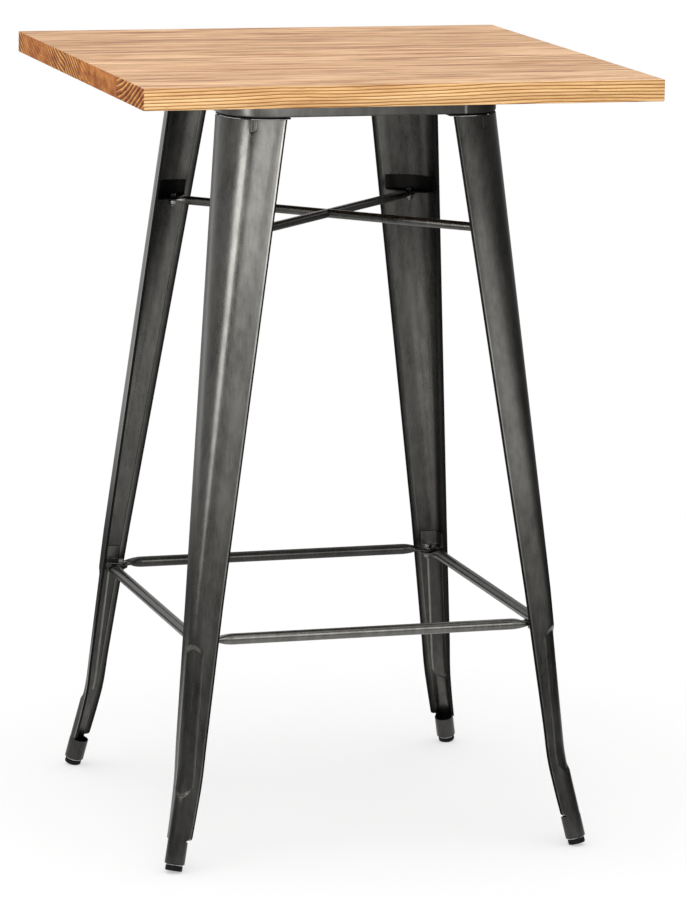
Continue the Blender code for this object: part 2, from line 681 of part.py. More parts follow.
def make_feet(steel, bright, rubber, parent):
    """Rolled socket at each leg's end, a bright ring on it, and a rubber foot plugged into both."""
    frame = foot_frame()
    ring_low = FOOT_HEIGHT + CLEARANCE
    socket_low = ring_low + RING_THICKNESS + CLEARANCE
    socket_top = LEG_FOOT_HEIGHT - CLEARANCE
    bore = CORNER_RADIUS_FOOT - SOCKET_WALL

    bm = bmesh.new()
    outside = CORNER_RADIUS_FOOT
    long = 2 * LEG_FOOT_HEIGHT
    profile = ((outside, socket_low), (outside, long), (bore, long), (bore, socket_low))
    loft(bm, turned(profile, frame), closed=True)
    socket = add_object("foot_socket", bm, steel, parent)
    turn = frame.to_3x3()
    axis = turn @ Vector((0.0, 0.0, 1.0))
    rim = (LEG_FOOT_HEIGHT - SOCKET_NOTCH - frame.translation.z) / axis.z
    inward = turn.inverted() @ Vector((-1.0, -1.0, 0.0))
    inside = frame @ Matrix.Rotation(math.atan2(inward.y, inward.x), 4, "Z")
    above = Matrix.Translation((frame.translation.x, frame.translation.y, 0.0))
    reach = 4 * CORNER_RADIUS_FOOT
    # The whole tube ends under the leg's sheet, and its inner half ends lower, square to the tube
    for placing, level, start in ((above, socket_top, -reach), (inside, rim, 0.0)):
        cutter = bmesh.new()
        box = bmesh.ops.create_cube(cutter, size=1.0)
        stretch = Matrix.Diagonal((reach - start, 2 * reach, long, 1.0))
        shift = Matrix.Translation(((reach + start) / 2, 0.0, level + long / 2))
        bmesh.ops.transform(cutter, matrix=placing @ shift @ stretch, verts=box["verts"])
        carve(socket, cutter)
    place_at_corners("foot_socket", socket, parent)

    bm = bmesh.new()
    hole = FOOT_NECK_RADIUS + CLEARANCE
    ring_high = ring_low + RING_THICKNESS
    profile = ((RING_RADIUS, ring_low), (RING_RADIUS, ring_high), (hole, ring_high), (hole, ring_low))
    loft(bm, turned(profile, frame), closed=True)
    place_at_corners("foot_ring", add_object("foot_ring", bm, bright, parent), parent)

    bm = bmesh.new()
    plug = bore - CLEARANCE
    profile = (
        (FOOT_RADIUS - FOOT_EDGE, 0.0),
        (FOOT_RADIUS, FOOT_EDGE),
        (FOOT_RADIUS, FOOT_HEIGHT),
        (FOOT_NECK_RADIUS, FOOT_HEIGHT),
        (FOOT_NECK_RADIUS, socket_low + CLEARANCE),
        (plug, socket_low + 2 * CLEARANCE),
        (plug, socket_low + FOOT_PLUG_HEIGHT - FOOT_EDGE),
        (plug - FOOT_EDGE, socket_low + FOOT_PLUG_HEIGHT),
    )
    loft(bm, turned(profile, frame), cap="face")
    every = bm.verts[:] + bm.edges[:] + bm.faces[:]
    floor = {"plane_co": (0.0, 0.0, 0.0), "plane_no": (0.0, 0.0, -1.0)}
    cut = bmesh.ops.bisect_plane(bm, geom=every, clear_outer=True, **floor)
    edges = [e for e in cut["geom_cut"] if isinstance(e, bmesh.types.BMEdge)]
    bmesh.ops.contextual_create(bm, geom=edges)
    place_at_corners("rubber_foot", add_object("rubber_foot", bm, rubber, parent), parent)


def main():
    for obj in list(bpy.data.objects):
        bpy.data.objects.remove(obj)
    table = bpy.data.objects.new("table", None)
    bpy.context.scene.collection.objects.link(table)

    wood = make_material("wood_top", (0.62, 0.36, 0.16), 0.45, 0.0)
    steel = make_material("gunmetal_steel", (0.13, 0.125, 0.12), 0.35, 1.0)
    black = make_material("black_steel", (0.03, 0.03, 0.03), 0.5, 0.6)
    zinc = make_material("zinc_steel", (0.62, 0.62, 0.63), 0.3, 1.0)
    rubber = make_material("black_rubber", (0.02, 0.02, 0.02), 0.8, 0.0)

    screw_offset = LEG_TOP_OFFSET - CORNER_RADIUS_TOP + (CORNER_RADIUS_TOP - SCREW_INSET) / math.sqrt(2)
    screw = Vector((screw_offset, screw_offset, 0.0))
    screws = four_ways(screw_offset, screw_offset)

    make_top(wood, table, screws)
    make_apron(steel, table, screws)
    make_legs(steel, table)
    make_plates(black, table, screw)
    make_brackets("brace_bracket", BRACE_SHELF_HEIGHT, BRACE_BOLT_OFFSET, BRACE_SHELF_MARGIN, black, table)
    make_brackets("rail_bracket", RAIL_SHELF_HEIGHT, RAIL_BOLT_OFFSET, RAIL_SHELF_MARGIN, steel, table)
    make_brace(steel, table)
    make_rails(steel, table)
    make_feet(steel, zinc, rubber, table)
    brace_under = BRACE_LEVEL - TAB_THICKNESS / 2
    rail_under = CROSS_RAIL_LEVEL - TAB_THICKNESS / 2
    make_joint_fasteners("brace", BRACE_BOLT_OFFSET, BRACE_SHELF_HEIGHT, brace_under, zinc, table)
    make_joint_fasteners("rail", RAIL_BOLT_OFFSET, RAIL_SHELF_HEIGHT, rail_under, zinc, table)
    make_screws(screw, zinc, table)


main()
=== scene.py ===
import math

import bmesh
import bpy
from mathutils import Matrix, Vector


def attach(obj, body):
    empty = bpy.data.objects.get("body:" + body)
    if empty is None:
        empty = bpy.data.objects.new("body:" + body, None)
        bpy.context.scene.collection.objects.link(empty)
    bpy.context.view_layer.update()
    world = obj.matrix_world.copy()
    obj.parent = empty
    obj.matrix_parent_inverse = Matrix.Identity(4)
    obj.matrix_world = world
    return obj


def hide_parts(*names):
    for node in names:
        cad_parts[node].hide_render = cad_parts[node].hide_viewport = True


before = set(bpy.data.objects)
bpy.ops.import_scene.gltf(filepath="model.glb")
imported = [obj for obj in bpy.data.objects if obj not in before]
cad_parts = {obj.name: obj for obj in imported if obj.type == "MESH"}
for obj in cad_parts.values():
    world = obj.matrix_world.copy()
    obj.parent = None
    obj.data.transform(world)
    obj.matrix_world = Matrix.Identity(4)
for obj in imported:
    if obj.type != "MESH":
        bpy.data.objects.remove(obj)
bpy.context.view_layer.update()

# Sizes of the part, in metres, as in its solids
CLEARANCE = 0.0003
TABLE_HEIGHT = 1.045
TOP_SIDE = 0.700
TOP_THICKNESS = 0.0285
TOP_CORNER_RADIUS = 0.0025
TOP_EDGE_RADIUS = 0.0012
APRON_HEIGHT = 0.0317
APRON_SHEET = 0.002
APRON_FLANGE = 0.024
LEG_SHEET = 0.0015
LEG_TOP_OFFSET = 0.1905
LEG_SPLAY = 0.0941
LEG_FOOT_HEIGHT = 0.0425
LEG_WAIST_HEIGHT = 0.350
KINK_HEIGHT = 0.120
KINK_SPLAY = 0.110
KINK_BLEND = 0.020
WING_TOP = 0.0763
WING_WAIST = 0.0408
WING_FOOT = 0.0272
CORNER_RADIUS_TOP = 0.062
CORNER_RADIUS_FOOT = 0.0134
HEM_DEPTH = 0.009
HEM_GAP = 0.0006
TOE_IN = math.radians(13.5)
TOE_HEIGHT = 0.170
PLATE_THICKNESS = 0.0022
PLATE_INSET = 0.001
PLATE_WIDTH = 0.025
PLATE_OVERHANG = 0.005
BRACKET_SHEET = 0.002
BRACKET_FLANGE = 0.019
BRACKET_SIDE_GAP = 0.0015
BRACKET_SHELF_STEP = 0.004
BRACE_DROP = 0.1511
BRACE_SHELF_MARGIN = 0.013
RAIL_SHELF_HEIGHT = 0.3030
RAIL_SHELF_MARGIN = 0.011
BRACE_DIAMETER = 0.012
BRACE_BOLT_INSET = 0.0322
BRACE_TAB_WIDTH = 0.018
BRACE_FLAT_START = 0.027
BRACE_FLAT_END = 0.0125
RAIL_DIAMETER = 0.015
RAIL_INSET = 0.0144
RAIL_BOLT_INSET = 0.0259
RAIL_TAB_WIDTH = 0.022
RAIL_FLAT_START = 0.035
RAIL_FLAT_END = 0.0135
RAIL_BEND_START = 0.028
RAIL_BEND_KNEE = 0.0125
TUBE_WALL = 0.0012
TAB_THICKNESS = 0.003
TAB_SQUARENESS = 3.0
BOLT_RADIUS = 0.003
BOLT_BORE = BOLT_RADIUS + CLEARANCE
BOLT_END = 0.0025
HEX_ACROSS = 0.010
HEAD_HEIGHT = 0.004
NUT_HEIGHT = 0.005
SCREW_INSET = 0.013
SCREW_RADIUS = 0.0038
SCREW_HEX_ACROSS = 0.013
SCREW_HEAD_HEIGHT = 0.005
SCREW_DEPTH = 0.019
SCREW_POINT = 0.006
SOCKET_WALL = 0.0015
SOCKET_NOTCH = 0.003
FOOT_RADIUS = 0.0114
FOOT_HEIGHT = 0.007
FOOT_FLAT_DEPTH = 0.001
FOOT_NECK_RADIUS = 0.008
FOOT_PLUG_HEIGHT = 0.012
RING_RADIUS = 0.0117
RING_THICKNESS = 0.0015

# Finer forms that the scene adds to the solids
SHEET_EDGE = 0.0005
FLUTE_LOW = 0.098
FLUTE_HIGH = 0.300
FLUTE_DEPTH = 0.0030
FLUTE_HALF_WIDTH = 0.0155
FLUTE_RIM = 0.0005
FLUTE_SIDE_PARTS = (2, 5)
FLUTE_END_ROUND = 0.011
FLUTE_LOW_RUN = 0.0035
FLUTE_HIGH_RUN = 0.009
TONGUE_HALF_WIDTH = 0.0034
TONGUE_LENGTH = 0.0168
TONGUE_GROOVE = 0.0010
TONGUE_DEPTH = 0.0004
TONGUE_TURN = math.radians(16)
TONGUE_CLEAR = 0.02
WING_END_ROUND = 0.003
WING_STEP = 0.0064
WING_STEP_SHARE = 0.4
WING_FLARE = 0.0011
WING_FLARE_RUN = 0.012
WING_FLARE_SHARE = 0.9
HEM_LIP = 0.001
LEG_RIM = 0.0005
APRON_BEND = 0.002
SEAM_TURN = math.radians(3.6)
SEAM_HALF_TURN = math.radians(0.35)
SEAM_DEPTH = 0.0007
# Points of the seam: half turns from its middle, and share of its depth
SEAM_POINTS = ((-2, 0.0), (-1, 1.0), (1, 1.0), (2, 0.0))
HEX_CHAMFER = 0.0006
HEX_FACE_SHARE = 0.97
THREAD_PITCH = 0.001
THREAD_DEPTH = 0.0005
FOOT_EDGE = 0.0015

# Tones of the metal, from black at -1 over plain at 0 to pale at 1: the dark tones are painted shade, save
# the blackened brace bolt heads, and the pale ones are painted highlights and reflections, with some wear
WORN_AND_HIGHLIGHT_TONE = 1.0
BLACKENED_AND_SHADE_TONE = -1.0
# Painted highlight along the flute's rims
FLUTE_RIM_HIGHLIGHT_TONE = 0.9
# Painted shade in the groove round the tongue
TONGUE_GROOVE_SHADE_TONE = -0.75
HEM_LIP_TONE = 0.5
# The painted shade line and the painted highlight line beside the hem's fold: distance from it, and tone
HEM_LINE = ((0.0008, BLACKENED_AND_SHADE_TONE), (0.0010, WORN_AND_HIGHLIGHT_TONE), (0.0024, WORN_AND_HIGHLIGHT_TONE), (0.0029, 0.0))
# Painted shade: the apron darkens along its front, toward the front right corner
APRON_SHADE_TONE = -0.60
# Painted shade: the legs' outer faces darken toward the sockets, and the sockets are darkened all over
SOCKET_SHADE_TONE = -0.42
SKIN_SHADE_CLEAR = (0.07, 0.20)
# Heights over which the legs' inner faces turn dark with painted shade and plain, then pale with a painted
# reflection and plain again
LINING_SHADE = 0.45
LINING_START = (0.06, 0.20)
LINING_CLEAR = (0.27, 0.44)
LINING_REFLECTION = 0.50
LINING_RISE = (0.42, 0.58)
LINING_FALL = (0.68, 0.80)
# A painted highlight line and a painted shade line above it along each side of a tube, by the vertex above
# its middle
RAIL_LIGHT_LINES = {1: 1.0, 2: -0.6}
BRACE_HEAD_TONE = BLACKENED_AND_SHADE_TONE
RAIL_HEAD_TONE = 0.0

# Modelling steps
ARC_STEPS = 16
TONGUE_STEPS = 24
FOLD_STEPS = 8
FLARE_STEPS = 6
TOP_EDGE_STEPS = 6
TOP_CORNER_STEPS = 8
APRON_CORNER_STEPS = 20
APRON_BEND_STEPS = 4
FOOT_EDGE_STEPS = 5
STRAIGHT_STEPS = 4
FLATTENING_STEPS = 12
TAB_STEPS = 9
TUBE_SIDES = 32
ROUND_SIDES = 48
EASE_STEPS = 2
SHARP_ANGLE = math.radians(50)
SMOOTH_ANGLE = math.radians(35)

# Levels, from the floor up
TOP_UNDERSIDE = TABLE_HEIGHT - TOP_THICKNESS
APRON_TOP = TOP_UNDERSIDE - CLEARANCE
APRON_BOTTOM = APRON_TOP - APRON_HEIGHT
PLATE_TOP = APRON_BOTTOM - CLEARANCE
PLATE_BOTTOM = PLATE_TOP - PLATE_THICKNESS
LEG_TOP = PLATE_BOTTOM - CLEARANCE
BRACE_SHELF_HEIGHT = LEG_TOP - BRACE_DROP
BRACE_LEVEL = BRACE_SHELF_HEIGHT - CLEARANCE - TAB_THICKNESS / 2
LONG_RAIL_LEVEL = RAIL_SHELF_HEIGHT - CLEARANCE - TAB_THICKNESS / 2
CROSS_RAIL_LEVEL = LONG_RAIL_LEVEL - TAB_THICKNESS - CLEARANCE

# Levels along a foot's axis, from its tread up
RING_LOW = FOOT_HEIGHT + CLEARANCE
RING_HIGH = RING_LOW + RING_THICKNESS
SOCKET_LOW = RING_HIGH + CLEARANCE
SOCKET_BORE = CORNER_RADIUS_FOOT - SOCKET_WALL

# Each corner's name, and the turn that brings the back right corner there
CORNERS = (("back_right", 0.0), ("back_left", 90.0), ("front_left", 180.0), ("front_right", 270.0))
# Name, turn, level, tone of the whole tube, and strength of the lines along its sides; the tones are painted
# shade on the rear and right tubes, and on the front one pale, partly wear where feet rest and partly a
# painted reflection
RAILS = (
    ("rear", 0.0, LONG_RAIL_LEVEL, -0.52, 0.80),
    ("front", 180.0, LONG_RAIL_LEVEL, 0.50, 1.00),
    ("left", 90.0, CROSS_RAIL_LEVEL, 0.0, 0.0),
    ("right", 270.0, CROSS_RAIL_LEVEL, -0.08, 0.0),
)
AHEAD = Vector((1.0, 0.0, 0.0))
WHITE = (1.0, 1.0, 1.0, 1.0)


# Node helpers

class Material:
    """A node material, built one node at a time; its constant colours are given without alpha."""

    def __init__(self, name):
        self.material = bpy.data.materials.new(name)
        self.material.use_nodes = True
        self.tree = self.material.node_tree
        self.shader = self.tree.nodes["Principled BSDF"]

    def node(self, kind, inputs=None, **settings):
        made = self.tree.nodes.new(kind)
        for key, value in settings.items():
            setattr(made, key, value)
        for key, value in (inputs or {}).items():
            self.feed(made.inputs[key], value)
        return made

    def feed(self, socket, value):
        if isinstance(value, bpy.types.NodeSocket):
            self.tree.links.new(value, socket)
        else:
            socket.default_value = value

    def set(self, **values):
        for key, value in values.items():
            self.feed(self.shader.inputs[key.replace("_", " ")], value)

    def surface(self, shader):
        self.feed(self.tree.nodes["Material Output"].inputs["Surface"], shader)

    def glow(self, strength):
        return self.node("ShaderNodeEmission", {"Color": WHITE, "Strength": strength}).outputs["Emission"]

    def coordinates(self):
        return self.node("ShaderNodeTexCoord").outputs["Object"]

    def split(self, vector):
        return self.node("ShaderNodeSeparateXYZ", {"Vector": vector}).outputs

    def math(self, operation, a, b=0.0, c=0.0):
        return self.node("ShaderNodeMath", {0: a, 1: b, 2: c}, operation=operation).outputs[0]

    def vector(self, operation, a, b):
        return self.node("ShaderNodeVectorMath", {0: a, 1: b}, operation=operation).outputs["Vector"]

    def mix(self, factor, a, b, blend="MIX"):
        made = self.node("ShaderNodeMix", data_type="RGBA", blend_type=blend)
        self.feed(made.inputs["Factor"], factor)
        for socket, colour in zip([s for s in made.inputs if s.type == "RGBA"], (a, b)):
            self.feed(socket, colour if isinstance(colour, bpy.types.NodeSocket) else (*colour, 1.0))
        return [s for s in made.outputs if s.type == "RGBA"][0]

    def times(self, a, b, share=1.0):
        return self.mix(share, a, b, "MULTIPLY")

    def noise(self, where, scale, detail=3.0, roughness=0.5):
        """Noise with one scale, or with a scale for each axis."""
        if isinstance(scale, tuple):
            where, scale = self.vector("MULTIPLY", where, scale), 1.0
        inputs = {"Vector": where, "Scale": scale, "Detail": detail, "Roughness": roughness}
        return self.node("ShaderNodeTexNoise", inputs).outputs["Fac"]

    def ramp(self, factor, stops, interpolation="LINEAR"):
        made = self.node("ShaderNodeValToRGB", {"Fac": factor})
        ramp = made.color_ramp
        ramp.interpolation = interpolation
        while len(ramp.elements) < len(stops):
            ramp.elements.new(1.0)
        for element, (place, colour) in zip(ramp.elements, stops):
            element.position = place
            element.color = (*colour, 1.0)
        return made.outputs["Color"]

    def range(self, value, low, high, to_low=0.0, to_high=1.0):
        inputs = {"Value": value, "From Min": low, "From Max": high, "To Min": to_low, "To Max": to_high}
        return self.node("ShaderNodeMapRange", inputs).outputs["Result"]

    def centred(self, value, span):
        """Spreads values from 0 to 1 over the span, half to each side of zero."""
        return self.math("MULTIPLY_ADD", value, span, -span / 2)

    def tones(self):
        """How pale and how dark the metal is, from the mesh's tones."""
        tone = self.node("ShaderNodeAttribute", attribute_name="edge").outputs["Fac"]
        dark = self.math("MAXIMUM", self.math("MULTIPLY", tone, -1.0), 0.0)
        return self.math("MAXIMUM", tone, 0.0), dark

    def bump(self, height, strength, distance):
        inputs = {"Height": height, "Strength": strength, "Distance": distance}
        return self.node("ShaderNodeBump", inputs).outputs["Normal"]


def grey(value):
    return (value, value, value)


# Materials

BOARDS = 5
# For each board from the front: the pith's place beside and above the board's middle, and its tone
BOARD_PITHS = (
    (0.190, 0.440, 0.62),
    (0.300, -0.060, 0.40),
    (-0.130, 0.300, 0.55),
    (-0.200, 0.400, 0.35),
    (-0.210, 0.450, 0.50),
)
BOARD_SHIFT = 3.7
STOP_MARGIN = 0.02
PITH_SPAN = 1.0
# How far a board's rings run off along it: share of its tone, and the same for all
PITH_TAPER = (0.05, -0.022)
RING_WAVES = 0.016
RING_RIPPLE = 0.0022
RING_SPACING = 0.0037
END_RING_SPACING = 0.0074
TOP_RING_FADE = 0.28
EDGE_STREAKS = 0.35
# How far a face has to turn toward an axis to count as facing it
FACING = (0.5, 0.9)
YEAR_TONES = (0.86, 1.06)
DASH_SHARE = 0.6
# How strongly the rings show on the cut ends, by the share of the way from the front to the back
END_RING_STRENGTH = (
    (0.0, 0.95), (0.17, 0.95), (0.21, 0.30), (0.46, 0.30), (0.52, 0.85), (0.70, 0.85), (0.76, 0.25),
    (0.93, 0.25), (0.97, 0.90),
)

# Colours of the wood, and ramps of them
PALE, HONEY, AMBER = (0.80, 0.510, 0.228), (0.63, 0.330, 0.112), (0.25, 0.092, 0.017)
RING_RAMP = (
    (0.0, HONEY), (0.06, PALE), (0.48, PALE), (0.70, HONEY), (0.84, AMBER), (0.95, AMBER), (1.0, HONEY),
)
WORKED_COLOUR = (0.64, 0.350, 0.130)
FIBRE_RAMP = ((0.30, (0.80, 0.74, 0.66)), (0.55, (1.0, 1.0, 1.0)), (0.80, (1.08, 1.07, 1.05)))
STREAK_RAMP = ((0.34, (0.47, 0.275, 0.185)), (0.47, (0.92, 0.91, 0.97)), (0.62, (1.28, 1.46, 1.98)))
# A slight cool tint on the upward faces, a painted sheen
TOP_SHEEN_TINT = (0.98, 0.960, 1.01)
BOARD_RAMP = ((0.3, (0.92, 0.86, 0.80)), (0.65, (1.04, 1.03, 1.01)))
DASH_COLOUR = (0.23, 0.105, 0.035)
END_PALE, END_WARM, END_DARK = (1.08, 0.99, 0.76), (1.02, 0.90, 0.63), (0.19, 0.054, 0.011)
END_RING_RAMP = ((0.0, END_PALE), (0.40, END_WARM), (0.68, END_DARK), (0.82, END_DARK), (1.0, END_PALE))
END_PLAIN = (0.88, 0.60, 0.30)
PATCH_RAMP = ((0.36, (0.70, 0.52, 0.37)), (0.64, (1.24, 1.28, 1.30)))
SPECK_RAMP = ((0.35, (0.68, 0.52, 0.38)), (0.65, (0.94, 0.89, 0.86)))
# Painted shade: the underside is darkened
UNDERSIDE_SHADE_TINT = (0.20, 0.215, 0.26)

# Colours of the metals
GUNMETAL = ((0.066, 0.064, 0.060), (0.124, 0.121, 0.113))
BLACKENED = ((0.006, 0.006, 0.006), (0.013, 0.012, 0.011))
GUNMETAL_ROUGHNESS = 0.16
BLACKENED_ROUGHNESS = 0.36
WEAR_AND_HIGHLIGHT_GAIN = 2.1
PAINTED_SHADE_COLOUR = grey(0.004)
PAINTED_SHADE_SHARE = 0.9
SOOT_COLOUR = (0.12, 0.115, 0.11)


def make_wood():
    """Softwood boards glued side by side: growth rings round each board's own pith, fibres along +X."""
    m = Material("wood_top")
    where = m.coordinates()
    axes = m.split(where)
    board_width = TOP_SIDE / BOARDS
    across = m.math("MULTIPLY_ADD", axes["Y"], 1 / board_width, BOARDS / 2)
    index = m.math("FLOOR", across)
    stops = [
        ((i + STOP_MARGIN) / BOARDS if i else 0.0, (side / PITH_SPAN + 0.5, up / PITH_SPAN + 0.5, tone))
        for i, (side, up, tone) in enumerate(BOARD_PITHS)
    ]
    lookup = m.ramp(m.math("MULTIPLY_ADD", index, 1 / BOARDS, 0.5 / BOARDS), stops, "CONSTANT")
    facts = m.node("ShaderNodeSeparateColor", {"Color": lookup}).outputs
    tone = facts["Blue"]
    shift = m.node("ShaderNodeCombineXYZ", {"X": m.math("MULTIPLY", index, BOARD_SHIFT)})
    board_where = m.vector("ADD", where, shift.outputs["Vector"])

    waves = m.centred(m.noise(board_where, (2.2, 9.0, 9.0), 2.0), RING_WAVES)
    ripple = m.centred(m.noise(board_where, (14.0, 60.0, 60.0), 2.0), RING_RIPPLE)
    middle = m.math("MULTIPLY", m.math("SUBTRACT", m.math("SUBTRACT", across, index), 0.5), board_width)
    side = m.math("SUBTRACT", middle, m.centred(facts["Red"], PITH_SPAN))
    level = m.math("SUBTRACT", axes["Z"], TABLE_HEIGHT - TOP_THICKNESS / 2)
    rise = m.math("SUBTRACT", level, m.centred(facts["Green"], PITH_SPAN))
    taper = m.math("MULTIPLY", axes["X"], m.math("MULTIPLY_ADD", tone, *PITH_TAPER))
    squares = [m.math("MULTIPLY", off, off) for off in (side, rise)]
    radius = m.math("ADD", m.math("SQRT", m.math("ADD", *squares)), taper)
    radius = m.math("ADD", radius, m.math("ADD", waves, ripple))
    turns = m.math("DIVIDE", radius, RING_SPACING)
    ring = m.math("FRACT", turns)
    year = m.node("ShaderNodeTexWhiteNoise", {"W": m.math("FLOOR", turns)}, noise_dimensions="1D")

    facing = m.split(m.node("ShaderNodeTexCoord").outputs["Normal"])
    upward = facing["Z"]
    rings = m.mix(m.range(upward, *FACING, 0.0, TOP_RING_FADE), m.ramp(ring, RING_RAMP), WORKED_COLOUR)
    fibre = m.noise(board_where, (9.0, 700.0, 700.0), 3.0, 0.6)
    plain = m.times(rings, m.ramp(fibre, FIBRE_RAMP))
    bands = m.noise(board_where, (5.5, 72.0, 72.0), 4.0, 0.7)
    colour = m.times(plain, m.ramp(bands, STREAK_RAMP), m.range(upward, *FACING, EDGE_STREAKS, 1.0))
    # Painted sheen: the upward faces are tinted cool
    colour = m.times(colour, TOP_SHEEN_TINT, m.range(upward, *FACING))
    colour = m.times(colour, m.ramp(tone, BOARD_RAMP))
    years = m.range(year.outputs["Value"], 0.0, 1.0, *YEAR_TONES)
    colour = m.node("ShaderNodeHueSaturation", {"Value": years, "Color": colour}).outputs["Color"]
    dashes = m.range(m.noise(board_where, (26.0, 420.0, 420.0), 2.0), 0.64, 0.72, 0.0, DASH_SHARE)
    colour = m.mix(dashes, colour, DASH_COLOUR)

    end_grain = m.range(m.math("ABSOLUTE", facing["X"]), *FACING)
    end_ring = m.math("FRACT", m.math("DIVIDE", radius, END_RING_SPACING))
    strength = m.ramp(m.math("DIVIDE", across, BOARDS), [(place, grey(s)) for place, s in END_RING_STRENGTH])
    late = m.mix(strength, END_PLAIN, m.ramp(end_ring, END_RING_RAMP))
    late = m.times(late, m.ramp(m.noise(board_where, (12.0, 26.0, 60.0), 3.0, 0.6), PATCH_RAMP))
    specks = m.ramp(m.noise(board_where, (40.0, 900.0, 900.0), 2.0), SPECK_RAMP)
    colour = m.mix(end_grain, colour, m.times(m.times(plain, late), specks))
    # Painted shade on the downward faces
    under = m.range(upward, -FACING[1], -FACING[0], 1.0, 0.0)
    colour = m.mix(under, colour, m.times(colour, UNDERSIDE_SHADE_TINT))

    relief = m.math("ADD", m.math("MULTIPLY", ring, 0.5), m.math("SUBTRACT", fibre, dashes))
    m.set(
        Base_Color=colour,
        Roughness=m.math("MULTIPLY_ADD", end_grain, 0.35, m.range(fibre, 0.3, 0.8, 0.42, 0.54)),
        Specular_IOR_Level=0.15,
        Normal=m.bump(relief, 0.35, 0.0003),
    )
    return m.material


def make_steel(name, colours, smooth_roughness):
    """Bare steel, wiped along its length: cloudy tone, faint streaks, and from the mesh's tones pale lines,
    which are painted highlights and reflections with some rubbed edges, and painted shade at folds, grooves
    and shaded faces.
    """
    m = Material(name)
    where = m.coordinates()
    clouds = m.noise(where, (26.0, 26.0, 9.0), 4.0, 0.6)
    streaks = m.noise(where, (420.0, 420.0, 6.0), 3.0)
    blotches = m.noise(where, (110.0, 110.0, 50.0), 3.0, 0.6)
    pale_patches = m.range(m.noise(where, (90.0, 90.0, 22.0), 3.0, 0.6), 0.35, 0.65, 0.40, 0.95)
    mottle = m.math("ADD", m.math("MULTIPLY", clouds, 0.45), m.math("MULTIPLY", streaks, 0.20))
    mottle = m.math("MULTIPLY_ADD", blotches, 0.35, mottle)
    # Pale and dark from the mesh's tones: painted highlights, reflections and shade, with some wear in the
    # pale
    wear_and_highlight, painted_shade = m.tones()
    colour = m.mix(m.range(mottle, 0.36, 0.64), *colours)
    colour = m.mix(m.math("MULTIPLY", wear_and_highlight, pale_patches), colour, [WEAR_AND_HIGHLIGHT_GAIN * c for c in colours[1]])
    colour = m.mix(m.math("MULTIPLY", painted_shade, PAINTED_SHADE_SHARE), colour, PAINTED_SHADE_COLOUR)
    rough = smooth_roughness
    for cause, share_of_it in ((clouds, 0.15), (streaks, 0.10), (painted_shade, 0.25)):
        rough = m.math("MULTIPLY_ADD", cause, share_of_it, rough)
    relief = m.math("ADD", m.math("MULTIPLY", m.noise(where, 1500.0, 2.0), 0.5), streaks)
    m.set(Base_Color=colour, Metallic=1.0, Roughness=rough, Normal=m.bump(relief, 0.10, 0.00012))
    return m.material


def make_zinc():
    """Zinc plating with a faint spangle, bright or blackened by the mesh's tones."""
    m = Material("zinc_steel")
    where = m.coordinates()
    spangle = m.node("ShaderNodeTexVoronoi", {"Vector": where, "Scale": 700.0}).outputs["Color"]
    tone = m.node("ShaderNodeSeparateColor", {"Color": spangle}).outputs["Red"]
    soot = m.noise(where, 240.0)
    bright, blackened = m.tones()
    colour = m.mix(tone, grey(0.19), grey(0.30))
    colour = m.mix(m.range(soot, 0.55, 0.75, 0.0, 0.5), colour, SOOT_COLOUR)
    colour = m.mix(bright, colour, m.mix(tone, grey(0.52), grey(0.66)))
    colour = m.mix(blackened, colour, m.mix(tone, grey(0.010), grey(0.022)))
    roughness = m.range(soot, 0.3, 0.8, 0.22, 0.45)
    m.set(Base_Color=colour, Metallic=1.0, Roughness=roughness, Normal=m.bump(soot, 0.15, 0.0001))
    return m.material


def make_rubber():
    """Moulded black rubber, dull, dusty in patches."""
    m = Material("black_rubber")
    where = m.coordinates()
    dust = m.noise(where, 150.0, 4.0, 0.6)
    m.set(
        Base_Color=m.mix(m.range(dust, 0.45, 0.75), grey(0.004), grey(0.011)),
        Roughness=m.range(dust, 0.3, 0.8, 0.55, 0.80),
        Specular_IOR_Level=0.15,
        Normal=m.bump(m.noise(where, 2200.0, 2.0), 0.25, 0.00015),
    )
    return m.material


# Mesh helpers

def quarter_turn(steps):
    return [i / steps * math.pi / 2 for i in range(steps + 1)]


def loft(rings, closed=False, cap=None, bm=None):
    """Joins rings of equally many points; closed joins the last to the first, cap closes both ends."""
    bm = bmesh.new() if bm is None else bm
    verts = [[bm.verts.new(p) for p in ring] for ring in rings]
    pairs = list(zip(verts, verts[1:]))
    if closed:
        pairs.append((verts[-1], verts[0]))
    for low, high in pairs:
        for i in range(len(low)):
            bm.faces.new((low[i], low[i - 1], high[i - 1], high[i]))
    if cap == "face":
        bm.faces.new(verts[0])
        bm.faces.new(verts[-1])
    if cap == "strip":
        count = len(verts[0])
        for ring in (verts[0], verts[-1]):
            for i in range(count // 2 - 1):
                bm.faces.new((ring[i], ring[i + 1], ring[count - 2 - i], ring[count - 1 - i]))
    return bm


def paint(bm, tones):
    """Gives the mesh's points their tones, in the order of the points; those left over stay plain."""
    layer = bm.verts.layers.float.new("edge")
    for vert, tone in zip(bm.verts, tones):
        vert[layer] = tone


def ease(bm, width):
    """Rounds the sharp edges of a thick plate."""
    bmesh.ops.recalc_face_normals(bm, faces=bm.faces)
    sharp = [e for e in bm.edges if e.is_manifold and e.calc_face_angle() > SHARP_ANGLE]
    bmesh.ops.bevel(bm, geom=sharp, offset=width, segments=EASE_STEPS, profile=0.5, affect="EDGES",
                    clamp_overlap=True)


def to_mesh(name, bm, material):
    bmesh.ops.recalc_face_normals(bm, faces=bm.faces)
    mesh = bpy.data.meshes.new(name)
    bm.to_mesh(mesh)
    bm.free()
    mesh.materials.append(material)
    mesh.shade_smooth()
    mesh.set_sharp_from_angle(angle=SMOOTH_ANGLE)
    return mesh


